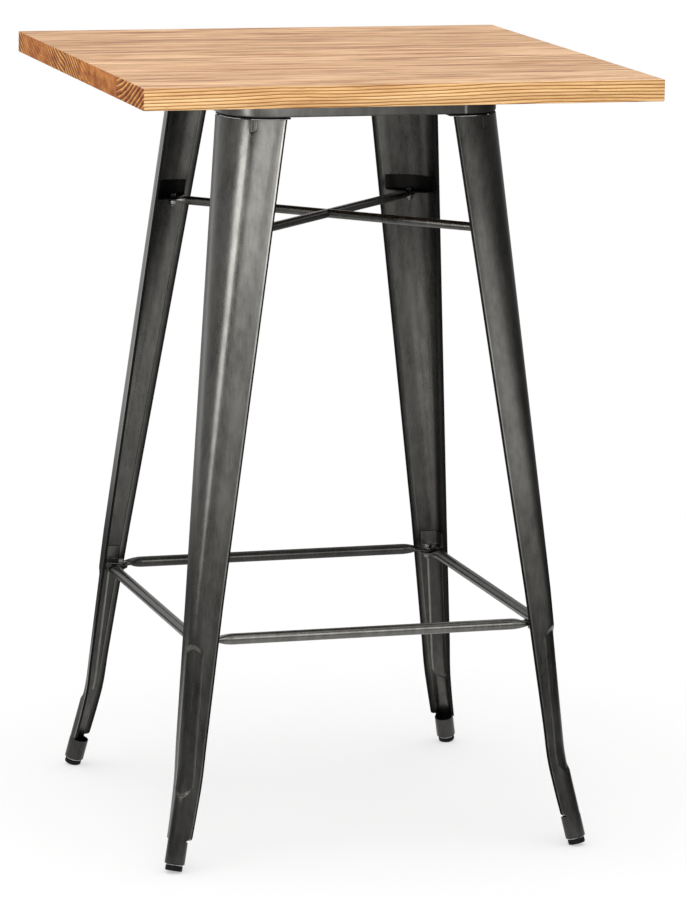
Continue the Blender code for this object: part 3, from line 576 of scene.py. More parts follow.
def new_object(name, data):
    made = bpy.data.objects.new(name, data)
    bpy.context.scene.collection.objects.link(made)
    return made


def add_piece(name, mesh, slot, *nodes):
    piece = new_object(name, mesh)
    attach(piece, "root")
    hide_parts(*nodes)


def turned_mesh(mesh, name, turn, level=0.0):
    copy = mesh.copy()
    copy.name = name
    copy.transform(Matrix.Translation((0.0, 0.0, level)) @ Matrix.Rotation(math.radians(turn), 4, "Z"))
    return copy


def place(stem, bm, slot, places=CORNERS, level=0.0):
    """A piece at each place for the node of the same stem, from one mesh that is turned there."""
    mesh = to_mesh(stem, bm, MATERIALS[slot])
    for name, turn in places:
        node = f"{stem}_{name}"
        add_piece(f"{node}_fine", turned_mesh(mesh, f"{node}_fine", turn, level), slot, node)


def carve(bm, cutter):
    """Cuts the cutter's bodies out of the mesh, and returns what is left."""
    tools = []
    for name, body in (("blank", bm), ("cutter", cutter)):
        bmesh.ops.recalc_face_normals(body, faces=body.faces)
        mesh = bpy.data.meshes.new(name)
        body.to_mesh(mesh)
        body.free()
        tools.append(new_object(name, mesh))
    blank, tool = tools
    cut = blank.modifiers.new("cut", "BOOLEAN")
    cut.operation = "DIFFERENCE"
    cut.solver = "EXACT"
    cut.object = tool
    graph = bpy.context.evaluated_depsgraph_get()
    carved = bmesh.new()
    carved.from_mesh(blank.evaluated_get(graph).to_mesh())
    for done in tools:
        mesh = done.data
        bpy.data.objects.remove(done)
        bpy.data.meshes.remove(mesh)
    return carved


def circle(centre, radius, height):
    angles = [2 * math.pi * i / ROUND_SIDES for i in range(ROUND_SIDES)]
    x, y = centre[0], centre[1]
    return [Vector((x + radius * math.cos(a), y + radius * math.sin(a), height)) for a in angles]


def hexagon(centre, across, height, limit):
    """A hexagon with extra points on its sides, its corners turned down to the radius limit."""
    points = []
    for i in range(ROUND_SIDES):
        angle = 2 * math.pi * i / ROUND_SIDES
        off_flat = (angle + math.pi / 6) % (math.pi / 3) - math.pi / 6
        reach = min(across / 2 / math.cos(off_flat), limit)
        x, y = centre[0] + reach * math.cos(angle), centre[1] + reach * math.sin(angle)
        points.append(Vector((x, y, height)))
    return points


def pins(centres, radius, half_length):
    bm = bmesh.new()
    for centre in centres:
        ends = [circle(centre, radius, centre[2] + side * half_length) for side in (-1, 1)]
        loft(ends, cap="face", bm=bm)
    return bm


def rounded_square(half, radius, height, steps, seam=()):
    """A rounded square from its right side on; seam gives more points of its front right corner."""
    points = []
    for quarter in range(4):
        turn = Matrix.Rotation(quarter * math.pi / 2, 3, "Z")
        places = [(angle, 0.0) for angle in quarter_turn(steps)]
        if quarter == 3:
            places = sorted(places + list(seam))
        for angle, dip in places:
            across = half - radius + (radius - dip) * math.cos(angle)
            along = half - radius + (radius - dip) * math.sin(angle)
            points.append(turn @ Vector((across, along, height)))
    return points


# Leg outline, as functions of the height above the floor

def share(value, low, high):
    return min(1.0, max(0.0, (value - low) / (high - low)))


def smooth(value, low, high):
    t = share(value, low, high)
    return t * t * (3.0 - 2.0 * t)


def leg_offset(z):
    """Distance from the table's middle planes to a leg's outer faces."""
    drop = KINK_HEIGHT - z
    if drop >= KINK_BLEND:
        kink = drop
    elif drop <= -KINK_BLEND:
        kink = 0.0
    else:
        kink = (drop + KINK_BLEND) ** 2 / (4 * KINK_BLEND)
    return LEG_TOP_OFFSET + LEG_SPLAY * (LEG_TOP - z) + KINK_SPLAY * kink


def wing_width(z):
    if z > LEG_WAIST_HEIGHT:
        return WING_WAIST + (WING_TOP - WING_WAIST) * share(z, LEG_WAIST_HEIGHT, LEG_TOP)
    return WING_FOOT + (WING_WAIST - WING_FOOT) * share(z, LEG_FOOT_HEIGHT, LEG_WAIST_HEIGHT)


def corner_radius(z):
    growth = CORNER_RADIUS_TOP - CORNER_RADIUS_FOOT
    return CORNER_RADIUS_FOOT + growth * share(z, LEG_WAIST_HEIGHT, LEG_TOP)


def toe_in(z):
    return TOE_IN * (1.0 - smooth(z, LEG_FOOT_HEIGHT, TOE_HEIGHT))


def flute_run(spread, z):
    """Share of the flute's full depth, by the height; its ends are round, so they close towards its rims."""
    low = FLUTE_LOW + FLUTE_END_ROUND * spread * spread
    high = FLUTE_HIGH - FLUTE_END_ROUND * spread * spread
    return smooth(z, low, low + FLUTE_LOW_RUN) * (1.0 - smooth(z, high - FLUTE_HIGH_RUN, high))


def flute_depth(along, z):
    """Depth of the pressed flute, by the way round the corner and the height."""
    spread = min(1.0, abs(along) / FLUTE_HALF_WIDTH)
    return FLUTE_DEPTH * (1.0 - spread * spread) * flute_run(spread, z)


def tongue_groove(along, z):
    """Share of the groove's depth round the tongue at the leg's top, by the way round from its middle."""
    middle = LEG_TOP - TONGUE_LENGTH + TONGUE_HALF_WIDTH
    beyond = abs(along) if z > middle else math.hypot(along, z - middle)
    return 1.0 - smooth(abs(beyond - TONGUE_HALF_WIDTH), 0.0, TONGUE_GROOVE)


def lining_light_tone(z):
    """The tone of a leg's inner faces: paler at mid height with a painted reflection, dark below the
    footrest with painted shade.
    """
    pale = smooth(z, *LINING_RISE) - smooth(z, *LINING_FALL)
    dark = smooth(z, *LINING_START) - smooth(z, *LINING_CLEAR)
    return LINING_REFLECTION * pale - LINING_SHADE * dark


def in_corner(s, t, z):
    offset = leg_offset(z)
    return Vector((offset - s, offset - t, z))


def corner_line(inset, end, radius):
    """The leg's outline in plan, inset from its outer face, from one wing's end to the other's."""
    points = [(inset, end)]
    reach = radius - inset
    for turn in quarter_turn(ARC_STEPS):
        angle = math.pi + turn
        points.append((radius + reach * math.cos(angle), radius + reach * math.sin(angle)))
    points.append((end, inset))
    return points


def corner_turns(hand):
    """Places round the corner, close together at the tongue, which lies to one side of its middle."""
    span = (TONGUE_HALF_WIDTH + TONGUE_GROOVE) / (CORNER_RADIUS_TOP * math.pi / 2)
    middle = 0.5 + hand * TONGUE_TURN / (math.pi / 2)
    fine = [middle + span * (2 * i / TONGUE_STEPS - 1) for i in range(TONGUE_STEPS + 1)]
    coarse = [i / ARC_STEPS for i in range(ARC_STEPS + 1)]
    return sorted(fine + [turn for turn in coarse if abs(turn - middle) > span + TONGUE_CLEAR])


def wing_points(z, radius, toe, arc):
    """The middle of a wing's sheet from its hem to the corner, as points with normals and tones."""
    middle, fold = LEG_SHEET / 2, (LEG_SHEET + HEM_GAP) / 2
    end_cut = WING_END_ROUND + LEG_FOOT_HEIGHT - z
    width = wing_width(z)
    if end_cut > 0.0:
        width -= WING_END_ROUND - math.sqrt(max(0.0, WING_END_ROUND ** 2 - end_cut ** 2))
    bend = width - fold - middle
    step = min(WING_STEP, WING_STEP_SHARE * (bend - radius))
    run = min(WING_FLARE_RUN, WING_FLARE_SHARE * (bend - radius - step))
    inward, outward = (1.0, 0.0), (-1.0, 0.0)

    lip = width - HEM_DEPTH
    points = [
        ((middle + 2 * fold, lip), inward, HEM_LIP_TONE),
        ((middle + 2 * fold, lip + HEM_LIP), inward, 0.0),
    ]
    for i in range(FOLD_STEPS + 1):
        angle = i / FOLD_STEPS * math.pi
        away = (math.cos(angle), math.sin(angle))
        # Painted shade in the hem's fold
        points.append(((middle + fold + fold * away[0], bend + fold * away[1]), away, BLACKENED_AND_SHADE_TONE))
    flare = Vector((-WING_FLARE, 0.0))
    points = [(Vector(p) + flare, n, tone) for p, n, tone in points]

    plain = HEM_LINE[-1][0]
    hollow = [(plain + (run - plain) * i / FLARE_STEPS, 0.0) for i in range(1, FLARE_STEPS + 1)]
    for beyond, tone in (*HEM_LINE, *hollow):
        lift = WING_FLARE * (1.0 - beyond / run) ** 2
        points.append(((middle - lift, bend - beyond), outward, tone))

    rim = min(step - 2 * FLUTE_RIM, max(3 * FLUTE_RIM, FLUTE_HALF_WIDTH - arc))
    # Painted highlight along the flute's rim
    rim_highlight_tone = FLUTE_RIM_HIGHLIGHT_TONE * flute_run(1.0, z)
    places = [(step, 0.0)]
    places += [(beyond, rim_highlight_tone) for beyond in (rim + FLUTE_RIM, rim, rim - FLUTE_RIM)]
    places += [(rim / part, 0.0) for part in FLUTE_SIDE_PARTS]
    for beyond, tone in places:
        points.append(((middle + flute_depth(arc + beyond, z), radius + beyond), outward, tone))

    close = Matrix.Rotation(-toe, 2)
    centre = Vector((radius, radius))
    return [(centre + close @ (Vector(p) - centre), close @ Vector(n), tone) for p, n, tone in points]


def corner_points(z, hand, radius, toe, arc):
    """The middle of the sheet round the leg's corner, as points with normals and tones."""
    points = []
    for turn in corner_turns(hand):
        angle = math.pi - toe + turn * (math.pi / 2 + 2 * toe)
        away = (math.cos(angle), math.sin(angle))
        along = (2 * turn - 1) * arc
        # Painted shade in the groove round the tongue
        groove = tongue_groove(along - hand * TONGUE_TURN * CORNER_RADIUS_TOP, z)
        reach = radius - LEG_SHEET / 2 - flute_depth(along, z) - TONGUE_DEPTH * groove
        points.append(((radius + reach * away[0], radius + reach * away[1]), away, TONGUE_GROOVE_SHADE_TONE * groove))
    return points


def leg_section(z, hand):
    """The bent sheet's section as points with tones, painted light and shade among them: hem, wing, corner,
    wing, hem and back inside.
    """
    radius, toe = corner_radius(z), toe_in(z)
    arc = radius * (math.pi / 4 + toe)
    wing = wing_points(z, radius, toe, arc)
    other = [((p[1], p[0]), (n[1], n[0]), tone) for p, n, tone in reversed(wing)]
    line = wing + corner_points(z, hand, radius, toe, arc) + other

    def face(reach, plain):
        return [
            (in_corner(p[0] + n[0] * reach, p[1] + n[1] * reach, z), tone or plain) for p, n, tone in line
        ]

    # Painted shade darkens the outer faces toward the sockets; the inner faces carry painted shade and a
    # painted reflection
    skin_shade_tone = SOCKET_SHADE_TONE * (1.0 - smooth(z, *SKIN_SHADE_CLEAR))
    return face(LEG_SHEET / 2, skin_shade_tone) + face(-LEG_SHEET / 2, lining_light_tone(z))[::-1]


def leg_heights():
    """Section heights: close together where the leg bends, or where its flute or tongue ends."""
    flute_open = FLUTE_LOW + FLUTE_END_ROUND + FLUTE_LOW_RUN
    flute_close = FLUTE_HIGH - FLUTE_END_ROUND - FLUTE_HIGH_RUN
    tongue_low = LEG_TOP - TONGUE_LENGTH
    # Steps up to each height from the one before it
    stretches = (
        (LEG_FOOT_HEIGHT + WING_END_ROUND, 5),
        (FLUTE_LOW, 8),
        (flute_open, 16),
        (KINK_HEIGHT + KINK_BLEND, 6),
        (flute_close, 8),
        (FLUTE_HIGH, 12),
        (LEG_WAIST_HEIGHT, 3),
        (tongue_low - TONGUE_GROOVE, 18),
        (tongue_low + TONGUE_HALF_WIDTH, 14),
        (LEG_TOP - LEG_RIM, 5),
        (LEG_TOP, 1),
    )
    heights, low = set(), LEG_FOOT_HEIGHT
    for high, steps in stretches:
        heights.update(round(low + (high - low) * i / steps, 6) for i in range(steps + 1))
        low = high
    return sorted(heights)


BRACE_BOLT_OFFSET = leg_offset(BRACE_SHELF_HEIGHT) - BRACE_BOLT_INSET
RAIL_OFFSET = leg_offset(RAIL_SHELF_HEIGHT) - RAIL_INSET
RAIL_BOLT_OFFSET = leg_offset(RAIL_SHELF_HEIGHT) - RAIL_BOLT_INSET
RAIL_FLAT_X = RAIL_BOLT_OFFSET - RAIL_FLAT_START


# Pieces

def make_top():
    half, r = TOP_SIDE / 2, TOP_EDGE_RADIUS
    lower = [(2 * r, 0.0)]
    lower += [(r * (1 - math.sin(a)), r * (1 - math.cos(a))) for a in quarter_turn(TOP_EDGE_STEPS)]
    profile = [(inset, TOP_UNDERSIDE + rise) for inset, rise in lower]
    profile += [(inset, TABLE_HEIGHT - rise) for inset, rise in reversed(lower)]
    rings = [rounded_square(half - i, TOP_CORNER_RADIUS - i, z, TOP_CORNER_STEPS) for i, z in profile]
    mesh = to_mesh("top_panel_boards", loft(rings, cap="face"), MATERIALS["wood_top"])
    add_piece("top_panel_boards", mesh, "wood_top", "top_panel")


def make_apron():
    """The ring under the top, with bent edges and the joint where its ends meet."""
    turns = quarter_turn(APRON_BEND_STEPS)
    r = APRON_BEND
    skin = [(APRON_FLANGE, APRON_BOTTOM)]
    skin += [(r * (1 - math.sin(a)), APRON_BOTTOM + r * (1 - math.cos(a))) for a in turns]
    skin += [(r * (1 - math.cos(a)), APRON_TOP - r * (1 - math.sin(a))) for a in turns]
    skin.append((APRON_FLANGE, APRON_TOP))
    low, high = APRON_BOTTOM + APRON_SHEET, APRON_TOP - APRON_SHEET
    inner = [(APRON_FLANGE, high), (APRON_SHEET, high), (APRON_SHEET, low), (APRON_FLANGE, low)]
    rings = []
    for inset, z in skin + inner:
        depth = SEAM_DEPTH if inset < APRON_BEND else 0.0
        seam = [(SEAM_TURN + turn * SEAM_HALF_TURN, depth * dip) for turn, dip in SEAM_POINTS]
        half, radius = LEG_TOP_OFFSET - inset, CORNER_RADIUS_TOP - inset
        rings.append(rounded_square(half, radius, z, APRON_CORNER_STEPS, seam))
    bm = loft(rings, closed=True)
    # Painted shade along the front right quarter, and a pale seam, partly wear and partly a painted glint
    ring_tones = [0.0] * 3 * (APRON_CORNER_STEPS + 1) + [APRON_SHADE_TONE]
    ring_tones += [WORN_AND_HIGHLIGHT_TONE] * len(SEAM_POINTS) + [APRON_SHADE_TONE] * APRON_CORNER_STEPS
    paint(bm, ring_tones * len(skin))
    mesh = to_mesh("apron_ring_fine", bm, MATERIALS["gunmetal_steel"])
    add_piece("apron_ring_fine", mesh, "gunmetal_steel", "apron_ring")


def make_legs():
    """Legs of two hands: each front leg's tongue is turned to the front, each back leg's to the back."""
    for hand, corners in ((1, CORNERS[0::2]), (-1, CORNERS[1::2])):
        sections = [leg_section(z, hand) for z in leg_heights()]
        bm = loft([[point for point, _ in section] for section in sections], cap="strip")
        tones = [tone for section in sections[:-1] for _, tone in section]
        # Painted shade: the leg's top rim under the plate is blackened
        paint(bm, tones + [BLACKENED_AND_SHADE_TONE] * len(sections[-1]))
        place("leg", bm, "gunmetal_steel", corners)


def make_plates():
    end = WING_TOP + PLATE_OVERHANG
    outline = corner_line(PLATE_INSET, end, CORNER_RADIUS_TOP)
    outline += corner_line(PLATE_INSET + PLATE_WIDTH, end, CORNER_RADIUS_TOP)[::-1]
    offset = leg_offset(LEG_TOP)
    levels = (PLATE_BOTTOM, PLATE_TOP)
    bm = loft([[Vector((offset - s, offset - t, z)) for s, t in outline] for z in levels], cap="strip")
    ease(bm, SHEET_EDGE)
    place("leg_top_plate", bm, "black_steel")


def make_brackets(stem, shelf, bolt_offset, margin, slot):
    """A shelf across the inside of a leg, with a flange turned up along the leg's inner face."""
    floor = shelf + BRACKET_SHEET
    crest = floor + BRACKET_FLANGE
    seat = LEG_SHEET + CLEARANCE
    face = seat + BRACKET_SHEET
    end = wing_width(shelf) - HEM_DEPTH - BRACKET_SIDE_GAP

    def line(inset, z):
        return [in_corner(s, t, z) for s, t in corner_line(inset, end, corner_radius(z))]

    def free_edge(z):
        step = face + BRACKET_SHELF_STEP
        offset = leg_offset(shelf)
        bolt = offset - bolt_offset
        plan = ((end, step), (bolt + margin, bolt), (bolt, bolt + margin), (step, end))
        return [Vector((offset - s, offset - t, z)) for s, t in plan]

    bm = bmesh.new()
    lines = (line(seat, shelf), line(seat, crest), line(face, crest), line(face, floor),
             free_edge(shelf), free_edge(floor))
    outer_low, outer_high, inner_high, inner_low, edge_low, edge_high = [
        [bm.verts.new(p) for p in points] for points in lines
    ]
    flange = (outer_low, outer_high, inner_high, inner_low)
    for low, high in (*zip(flange, flange[1:]), (edge_low, edge_high)):
        for i in range(len(low) - 1):
            bm.faces.new((low[i], low[i + 1], high[i + 1], high[i]))
    bm.faces.new(outer_low + edge_low)
    bm.faces.new(inner_low + edge_high)
    for last, first in ((-1, 0), (0, -1)):
        bm.faces.new([side[last] for side in flange] + [edge_high[first], edge_low[first]])
    ease(bm, SHEET_EDGE)
    bolt = Vector((bolt_offset, bolt_offset, shelf))
    place(stem, carve(bm, pins([bolt], BOLT_BORE, BRACKET_FLANGE)), slot)


def tube(stations):
    """A tube through stations (centre, heading, half width, half height), flat where the height is small."""
    outer, inner = [], []
    for centre, heading, half_width, half_height in stations:
        across = Vector((-heading.y, heading.x, 0.0))
        squareness = 2 / (2 + TAB_SQUARENESS * (1 - half_height / half_width))
        for rings, inset in ((outer, 0.0), (inner, TUBE_WALL)):
            ring = []
            for i in range(TUBE_SIDES):
                angle = 2 * math.pi * (i + 0.5) / TUBE_SIDES
                cosine, sine = math.cos(angle), math.sin(angle)
                side = math.copysign(abs(cosine) ** squareness, cosine) * (half_width - inset)
                up = math.copysign(abs(sine) ** squareness, sine) * (half_height - inset)
                ring.append(centre + across * side + Vector((0.0, 0.0, up)))
            rings.append(ring)
    return loft(outer + inner[::-1], closed=True)


def whole(half):
    """The stations of a whole tube, from those of the half that runs along +X."""
    return [
        (Vector((-c.x, c.y, c.z)), Vector((h.x, -h.y, 0.0)), width, height)
        for c, h, width, height in half[:0:-1]
    ] + half


def straight(end, offset, radius):
    places = [end * i / STRAIGHT_STEPS for i in range(STRAIGHT_STEPS)]
    return [(Vector((x, offset, 0.0)), AHEAD, radius, radius) for x in places]


def flattening(start, end, radius, half_width):
    sizes = []
    for i in range(FLATTENING_STEPS + 1):
        t = (i / FLATTENING_STEPS) ** 2
        x = start + (end - start) * i / FLATTENING_STEPS
        sizes.append((x, radius + (half_width - radius) * t, radius + (TAB_THICKNESS / 2 - radius) * t))
    return sizes


def end_tab(bolt, heading, half_width):
    stations = []
    for angle in quarter_turn(TAB_STEPS)[:-1]:
        centre = bolt + heading * half_width * math.sin(angle)
        stations.append((centre, heading, half_width * math.cos(angle), TAB_THICKNESS / 2))
    return stations


def rail_half():
    """Stations of one half of a footrest tube, from its middle to its tip, along +X at the back."""
    radius, half_width = RAIL_DIAMETER / 2, RAIL_TAB_WIDTH / 2
    bolt = Vector((RAIL_BOLT_OFFSET, RAIL_BOLT_OFFSET, 0.0))
    end = RAIL_BOLT_OFFSET - RAIL_FLAT_END
    bend_start = Vector((RAIL_BOLT_OFFSET - RAIL_BEND_START, RAIL_OFFSET, 0.0))
    knee = Vector((RAIL_BOLT_OFFSET - RAIL_BEND_KNEE, RAIL_OFFSET, 0.0))

    def line(x):
        t = share(x, bend_start.x, bolt.x)
        if t == 0.0:
            return Vector((x, RAIL_OFFSET, 0.0)), AHEAD
        centre = bend_start * (1 - t) ** 2 + knee * 2 * t * (1 - t) + bolt * t ** 2
        heading = (knee - bend_start) * (1 - t) + (bolt - knee) * t
        return centre, heading.normalized()

    stations = straight(RAIL_FLAT_X, RAIL_OFFSET, radius)
    for x, width, height in flattening(RAIL_FLAT_X, end, radius, half_width):
        stations.append((*line(x), width, height))
    for i in range(1, STRAIGHT_STEPS):
        x = end + (bolt.x - end) * i / STRAIGHT_STEPS
        stations.append((*line(x), half_width, TAB_THICKNESS / 2))
    return stations + end_tab(bolt, line(bolt.x)[1], half_width)


def rail_light_line(point):
    """The tone of the thin painted highlight and shade lines at a point of a footrest tube."""
    if abs(point.x) > RAIL_FLAT_X:
        return 0.0
    rise = math.atan2(point.z, abs(point.y - RAIL_OFFSET))
    return RAIL_LIGHT_LINES.get(round(rise * TUBE_SIDES / (2 * math.pi) - 0.5), 0.0)


def make_rails():
    """Footrest tubes: the front one is pale, partly from wear where feet rest and partly a painted
    reflection; the rear one is darkened with painted shade.
    """
    bolts = [Vector((side * RAIL_BOLT_OFFSET, RAIL_BOLT_OFFSET, 0.0)) for side in (-1, 1)]
    bm = carve(tube(whole(rail_half())), pins(bolts, BOLT_BORE, RAIL_DIAMETER))
    for name, turn, level, tone, strength in RAILS:
        body = bm.copy()
        paint(body, [tone + strength * rail_light_line(vert.co) for vert in body.verts])
        place("footrest_rail", body, "gunmetal_steel", ((name, turn),), level)
    bm.free()


def brace_half():
    """Stations of half a brace tube, from the middle of the cross along +X to its tip."""
    radius, half_width = BRACE_DIAMETER / 2, BRACE_TAB_WIDTH / 2
    reach = BRACE_BOLT_OFFSET * math.sqrt(2)
    begin, end = reach - BRACE_FLAT_START, reach - BRACE_FLAT_END
    stations = straight(begin, 0.0, radius)
    for x, width, height in flattening(begin, end, radius, half_width):
        stations.append((Vector((x, 0.0, 0.0)), AHEAD, width, height))
    return stations + end_tab(Vector((reach, 0.0, 0.0)), AHEAD, half_width)


def make_brace():
    """One tube through, from back left to front right, and two halves coped and welded against it."""
    half = brace_half()
    bolt = Vector((BRACE_BOLT_OFFSET * math.sqrt(2), 0.0, 0.0))
    bm = carve(tube(whole(half)), pins([bolt, -bolt], BOLT_BORE, BRACE_DIAMETER))
    place("brace_tube", bm, "gunmetal_steel", (("through", -45.0),), BRACE_LEVEL)
    cope = pins([Vector((0.0, 0.0, 0.0))], BRACE_DIAMETER / 2, BRACE_DIAMETER)
    bmesh.ops.rotate(cope, verts=cope.verts, matrix=Matrix.Rotation(math.pi / 2, 3, "X"))
    bm = carve(carve(tube(half), pins([bolt], BOLT_BORE, BRACE_DIAMETER)), cope)
    place("brace_half", bm, "gunmetal_steel", (("back_right", 45.0), ("front_left", 225.0)), BRACE_LEVEL)


def thread_rings(centre, radius, low, high):
    """Rings of a threaded shank, crest and root by turns, from high to low."""
    rings = []
    turns = max(1, round((high - low) / THREAD_PITCH))
    pitch = (high - low) / turns
    for i in range(turns):
        rings.append(circle(centre, radius, high - i * pitch))
        rings.append(circle(centre, radius - THREAD_DEPTH, high - (i + 0.5) * pitch))
    rings.append(circle(centre, radius - THREAD_DEPTH, low))
    return rings


def hex_rings(centre, across, low, high, chamfer_low, chamfer_high):
    """Rings of a hexagon body whose corners are chamfered at one end or both."""
    flat, corner = across / 2, across / math.sqrt(3)
    plain = [(0.0, across)]
    chamfer = [(0.0, flat * HEX_FACE_SHARE), (HEX_CHAMFER / 2, (flat + corner) / 2), (HEX_CHAMFER, across)]
    lower, upper = [chamfer if wanted else plain for wanted in (chamfer_low, chamfer_high)]
    rings = [hexagon(centre, across, low + rise, limit) for rise, limit in lower]
    return rings + [hexagon(centre, across, high - rise, limit) for rise, limit in reversed(upper)]


def make_joint_fasteners(stem, offset, shelf, underside, head_tone):
    """A hexagon bolt down through each shelf and the tube tabs under it, with a nut below."""
    p = Vector((offset, offset, 0.0))
    head_low = shelf + BRACKET_SHEET + CLEARANCE
    nut_high = underside - CLEARANCE
    nut_low = nut_high - NUT_HEIGHT
    head = hex_rings(p, HEX_ACROSS, head_low, head_low + HEAD_HEIGHT, False, True)[::-1]
    shank = [circle(p, BOLT_RADIUS, head_low)]
    shank += thread_rings(p, BOLT_RADIUS, nut_low - BOLT_END, head_low - BRACKET_SHEET)
    bm = loft(head + shank, cap="face")
    paint(bm, [head_tone] * len(head) * ROUND_SIDES)
    place(f"{stem}_bolt", bm, "zinc_steel")
    rings = hex_rings(p, HEX_ACROSS, nut_low, nut_high, True, True)
    rings += [circle(p, BOLT_BORE, nut_high), circle(p, BOLT_BORE, nut_low)]
    place(f"{stem}_nut", loft(rings, closed=True), "zinc_steel")


def make_screws():
    """A long screw up through each leg's plate and both flanges of the apron into the panel."""
    offset = LEG_TOP_OFFSET - CORNER_RADIUS_TOP + (CORNER_RADIUS_TOP - SCREW_INSET) / math.sqrt(2)
    p = Vector((offset, offset, 0.0))
    head_high = PLATE_BOTTOM - CLEARANCE
    tip = TOP_UNDERSIDE + SCREW_DEPTH
    rings = hex_rings(p, SCREW_HEX_ACROSS, head_high - SCREW_HEAD_HEIGHT, head_high, True, False)
    rings += thread_rings(p, SCREW_RADIUS, head_high, tip - SCREW_POINT)[::-1]
    rings.append(circle(p, THREAD_DEPTH, tip))
    place("leg_screw", loft(rings, cap="face"), "zinc_steel")


def foot_frame():
    """Axis of a foot: the point where it meets its tread, and a turn that lays +Z along the leg's end."""
    slope = LEG_SPLAY + KINK_SPLAY
    axis = Vector((-slope, -slope, 1.0)).normalized()
    lean = math.acos(axis.z)
    tread = FOOT_RADIUS * math.sin(lean) - FOOT_FLAT_DEPTH
    middle = leg_offset(LEG_FOOT_HEIGHT) - CORNER_RADIUS_FOOT + slope * (LEG_FOOT_HEIGHT - tread)
    lay = axis.to_track_quat("Z", "Y").to_matrix().to_4x4()
    return Matrix.Translation((middle, middle, tread)) @ lay


def turned(profile, placing):
    return [[placing @ p for p in circle((0.0, 0.0), radius, along)] for radius, along in profile]


def make_sockets():
    """Rolled socket at each leg's end, cut level under the leg and lower on its inner side."""
    placing = foot_frame()
    outside, soft, long = CORNER_RADIUS_FOOT, SHEET_EDGE, 2 * LEG_FOOT_HEIGHT
    profile = ((outside - soft, SOCKET_LOW), (outside - soft / 4, SOCKET_LOW + soft / 3),
               (outside, SOCKET_LOW + soft), (outside, long), (SOCKET_BORE, long), (SOCKET_BORE, SOCKET_LOW))
    bm = loft(turned(profile, placing), closed=True)
    turn, foot = placing.to_3x3(), placing.translation
    axis = turn @ Vector((0.0, 0.0, 1.0))
    notch = (LEG_FOOT_HEIGHT - SOCKET_NOTCH - foot.z) / axis.z
    inward = turn.inverted() @ Vector((-1.0, -1.0, 0.0))
    inside = placing @ Matrix.Rotation(math.atan2(inward.y, inward.x), 4, "Z")
    above = Matrix.Translation((foot.x, foot.y, 0.0))
    reach = 4 * CORNER_RADIUS_FOOT
    for lay, level, start in ((above, LEG_FOOT_HEIGHT, -reach), (inside, notch, 0.0)):
        cutter = bmesh.new()
        box = bmesh.ops.create_cube(cutter, size=1.0)
        stretch = Matrix.Diagonal((reach - start, 2 * reach, long, 1.0))
        shift = Matrix.Translation(((reach + start) / 2, 0.0, level + long / 2))
        bmesh.ops.transform(cutter, matrix=lay @ shift @ stretch, verts=box["verts"])
        bm = carve(bm, cutter)
    # Painted shade: the sockets are darkened all over
    paint(bm, [SOCKET_SHADE_TONE] * len(bm.verts))
    place("foot_socket", bm, "gunmetal_steel")


def make_foot_rings():
    """A bright ring between each socket and its rubber foot."""
    hole, lip = FOOT_NECK_RADIUS + CLEARANCE, RING_THICKNESS / 3
    profile = ((RING_RADIUS - lip, RING_LOW), (RING_RADIUS, RING_LOW + lip), (RING_RADIUS, RING_HIGH - lip),
               (RING_RADIUS - lip, RING_HIGH), (hole, RING_HIGH), (hole, RING_LOW))
    bm = loft(turned(profile, foot_frame()), closed=True)
    # The ring is painted pale all over, partly bright zinc and partly a painted highlight
    paint(bm, [WORN_AND_HIGHLIGHT_TONE] * len(bm.verts))
    place("foot_ring", bm, "zinc_steel")


def make_rubber_feet():
    """A rubber foot under each socket, plugged into it and cut flat at the floor."""
    plug, soft, r = SOCKET_BORE - CLEARANCE, SHEET_EDGE, FOOT_EDGE
    turns = quarter_turn(FOOT_EDGE_STEPS)
    profile = [(FOOT_RADIUS - r * (1 - math.sin(a)), r * (1 - math.cos(a))) for a in turns]
    profile += [
        (FOOT_RADIUS, FOOT_HEIGHT - soft),
        (FOOT_RADIUS - soft, FOOT_HEIGHT),
        (FOOT_NECK_RADIUS, FOOT_HEIGHT),
        (FOOT_NECK_RADIUS, SOCKET_LOW + CLEARANCE),
        (plug, SOCKET_LOW + 2 * CLEARANCE),
        (plug, SOCKET_LOW + FOOT_PLUG_HEIGHT - soft),
        (plug - soft, SOCKET_LOW + FOOT_PLUG_HEIGHT),
    ]
    bm = loft(turned(profile, foot_frame()), cap="face")
    every = bm.verts[:] + bm.edges[:] + bm.faces[:]
    floor = {"plane_co": (0.0, 0.0, 0.0), "plane_no": (0.0, 0.0, -1.0)}
    cut = bmesh.ops.bisect_plane(bm, geom=every, clear_outer=True, **floor)
    outline = [e for e in cut["geom_cut"] if isinstance(e, bmesh.types.BMEdge)]
    bmesh.ops.contextual_create(bm, geom=outline)
    place("rubber_foot", bm, "black_rubber")


# Stage, light and camera

FLOOR_SIZE = 60.0
FLOOR_SEGMENTS = 8
FLOOR_CLEAR = (1.1, 2.2)
FLOOR_LIFT = 0.44
FLOOR_COLOUR = (0.98, 0.98, 0.98, 1.0)
WORLD_LIGHT = 1.0
WALL_RADIUS = 1.25
WALL_HEIGHT = 2.0
WALL_LEFT = 0.72
WALL_RIGHT = 0.15
WALL_FADE = (0.20, 0.38)
WALL_FLOOR_SHARE = 0.12
WALL_SKY = (1.05, 1.20)
# How far back, in wall radii, the wall grows lighter, and turns white above the part
WALL_BACK = (0.3, 0.9)
WALL_BEHIND = (0.0, 0.5)
# Bearings on the wall run from the front to the left, in degrees
# Soft fills: bearing and its spread, level and its spread, and strength
FILLS = (
    (-20.0, 19.0, 0.65, 0.165, 2.1),
    (-11.5, 4.5, 0.25, 0.06, 1.6),
)
# Softboxes: bearing and half width, the levels between which the light grows, and strength
SOFTBOXES = (
    (55.0, 5.0, 0.42, 0.97, 12.5),
    (11.0, 20.0, 0.74, 1.00, 4.3),
)
SOFTBOX_EDGE = 3.0
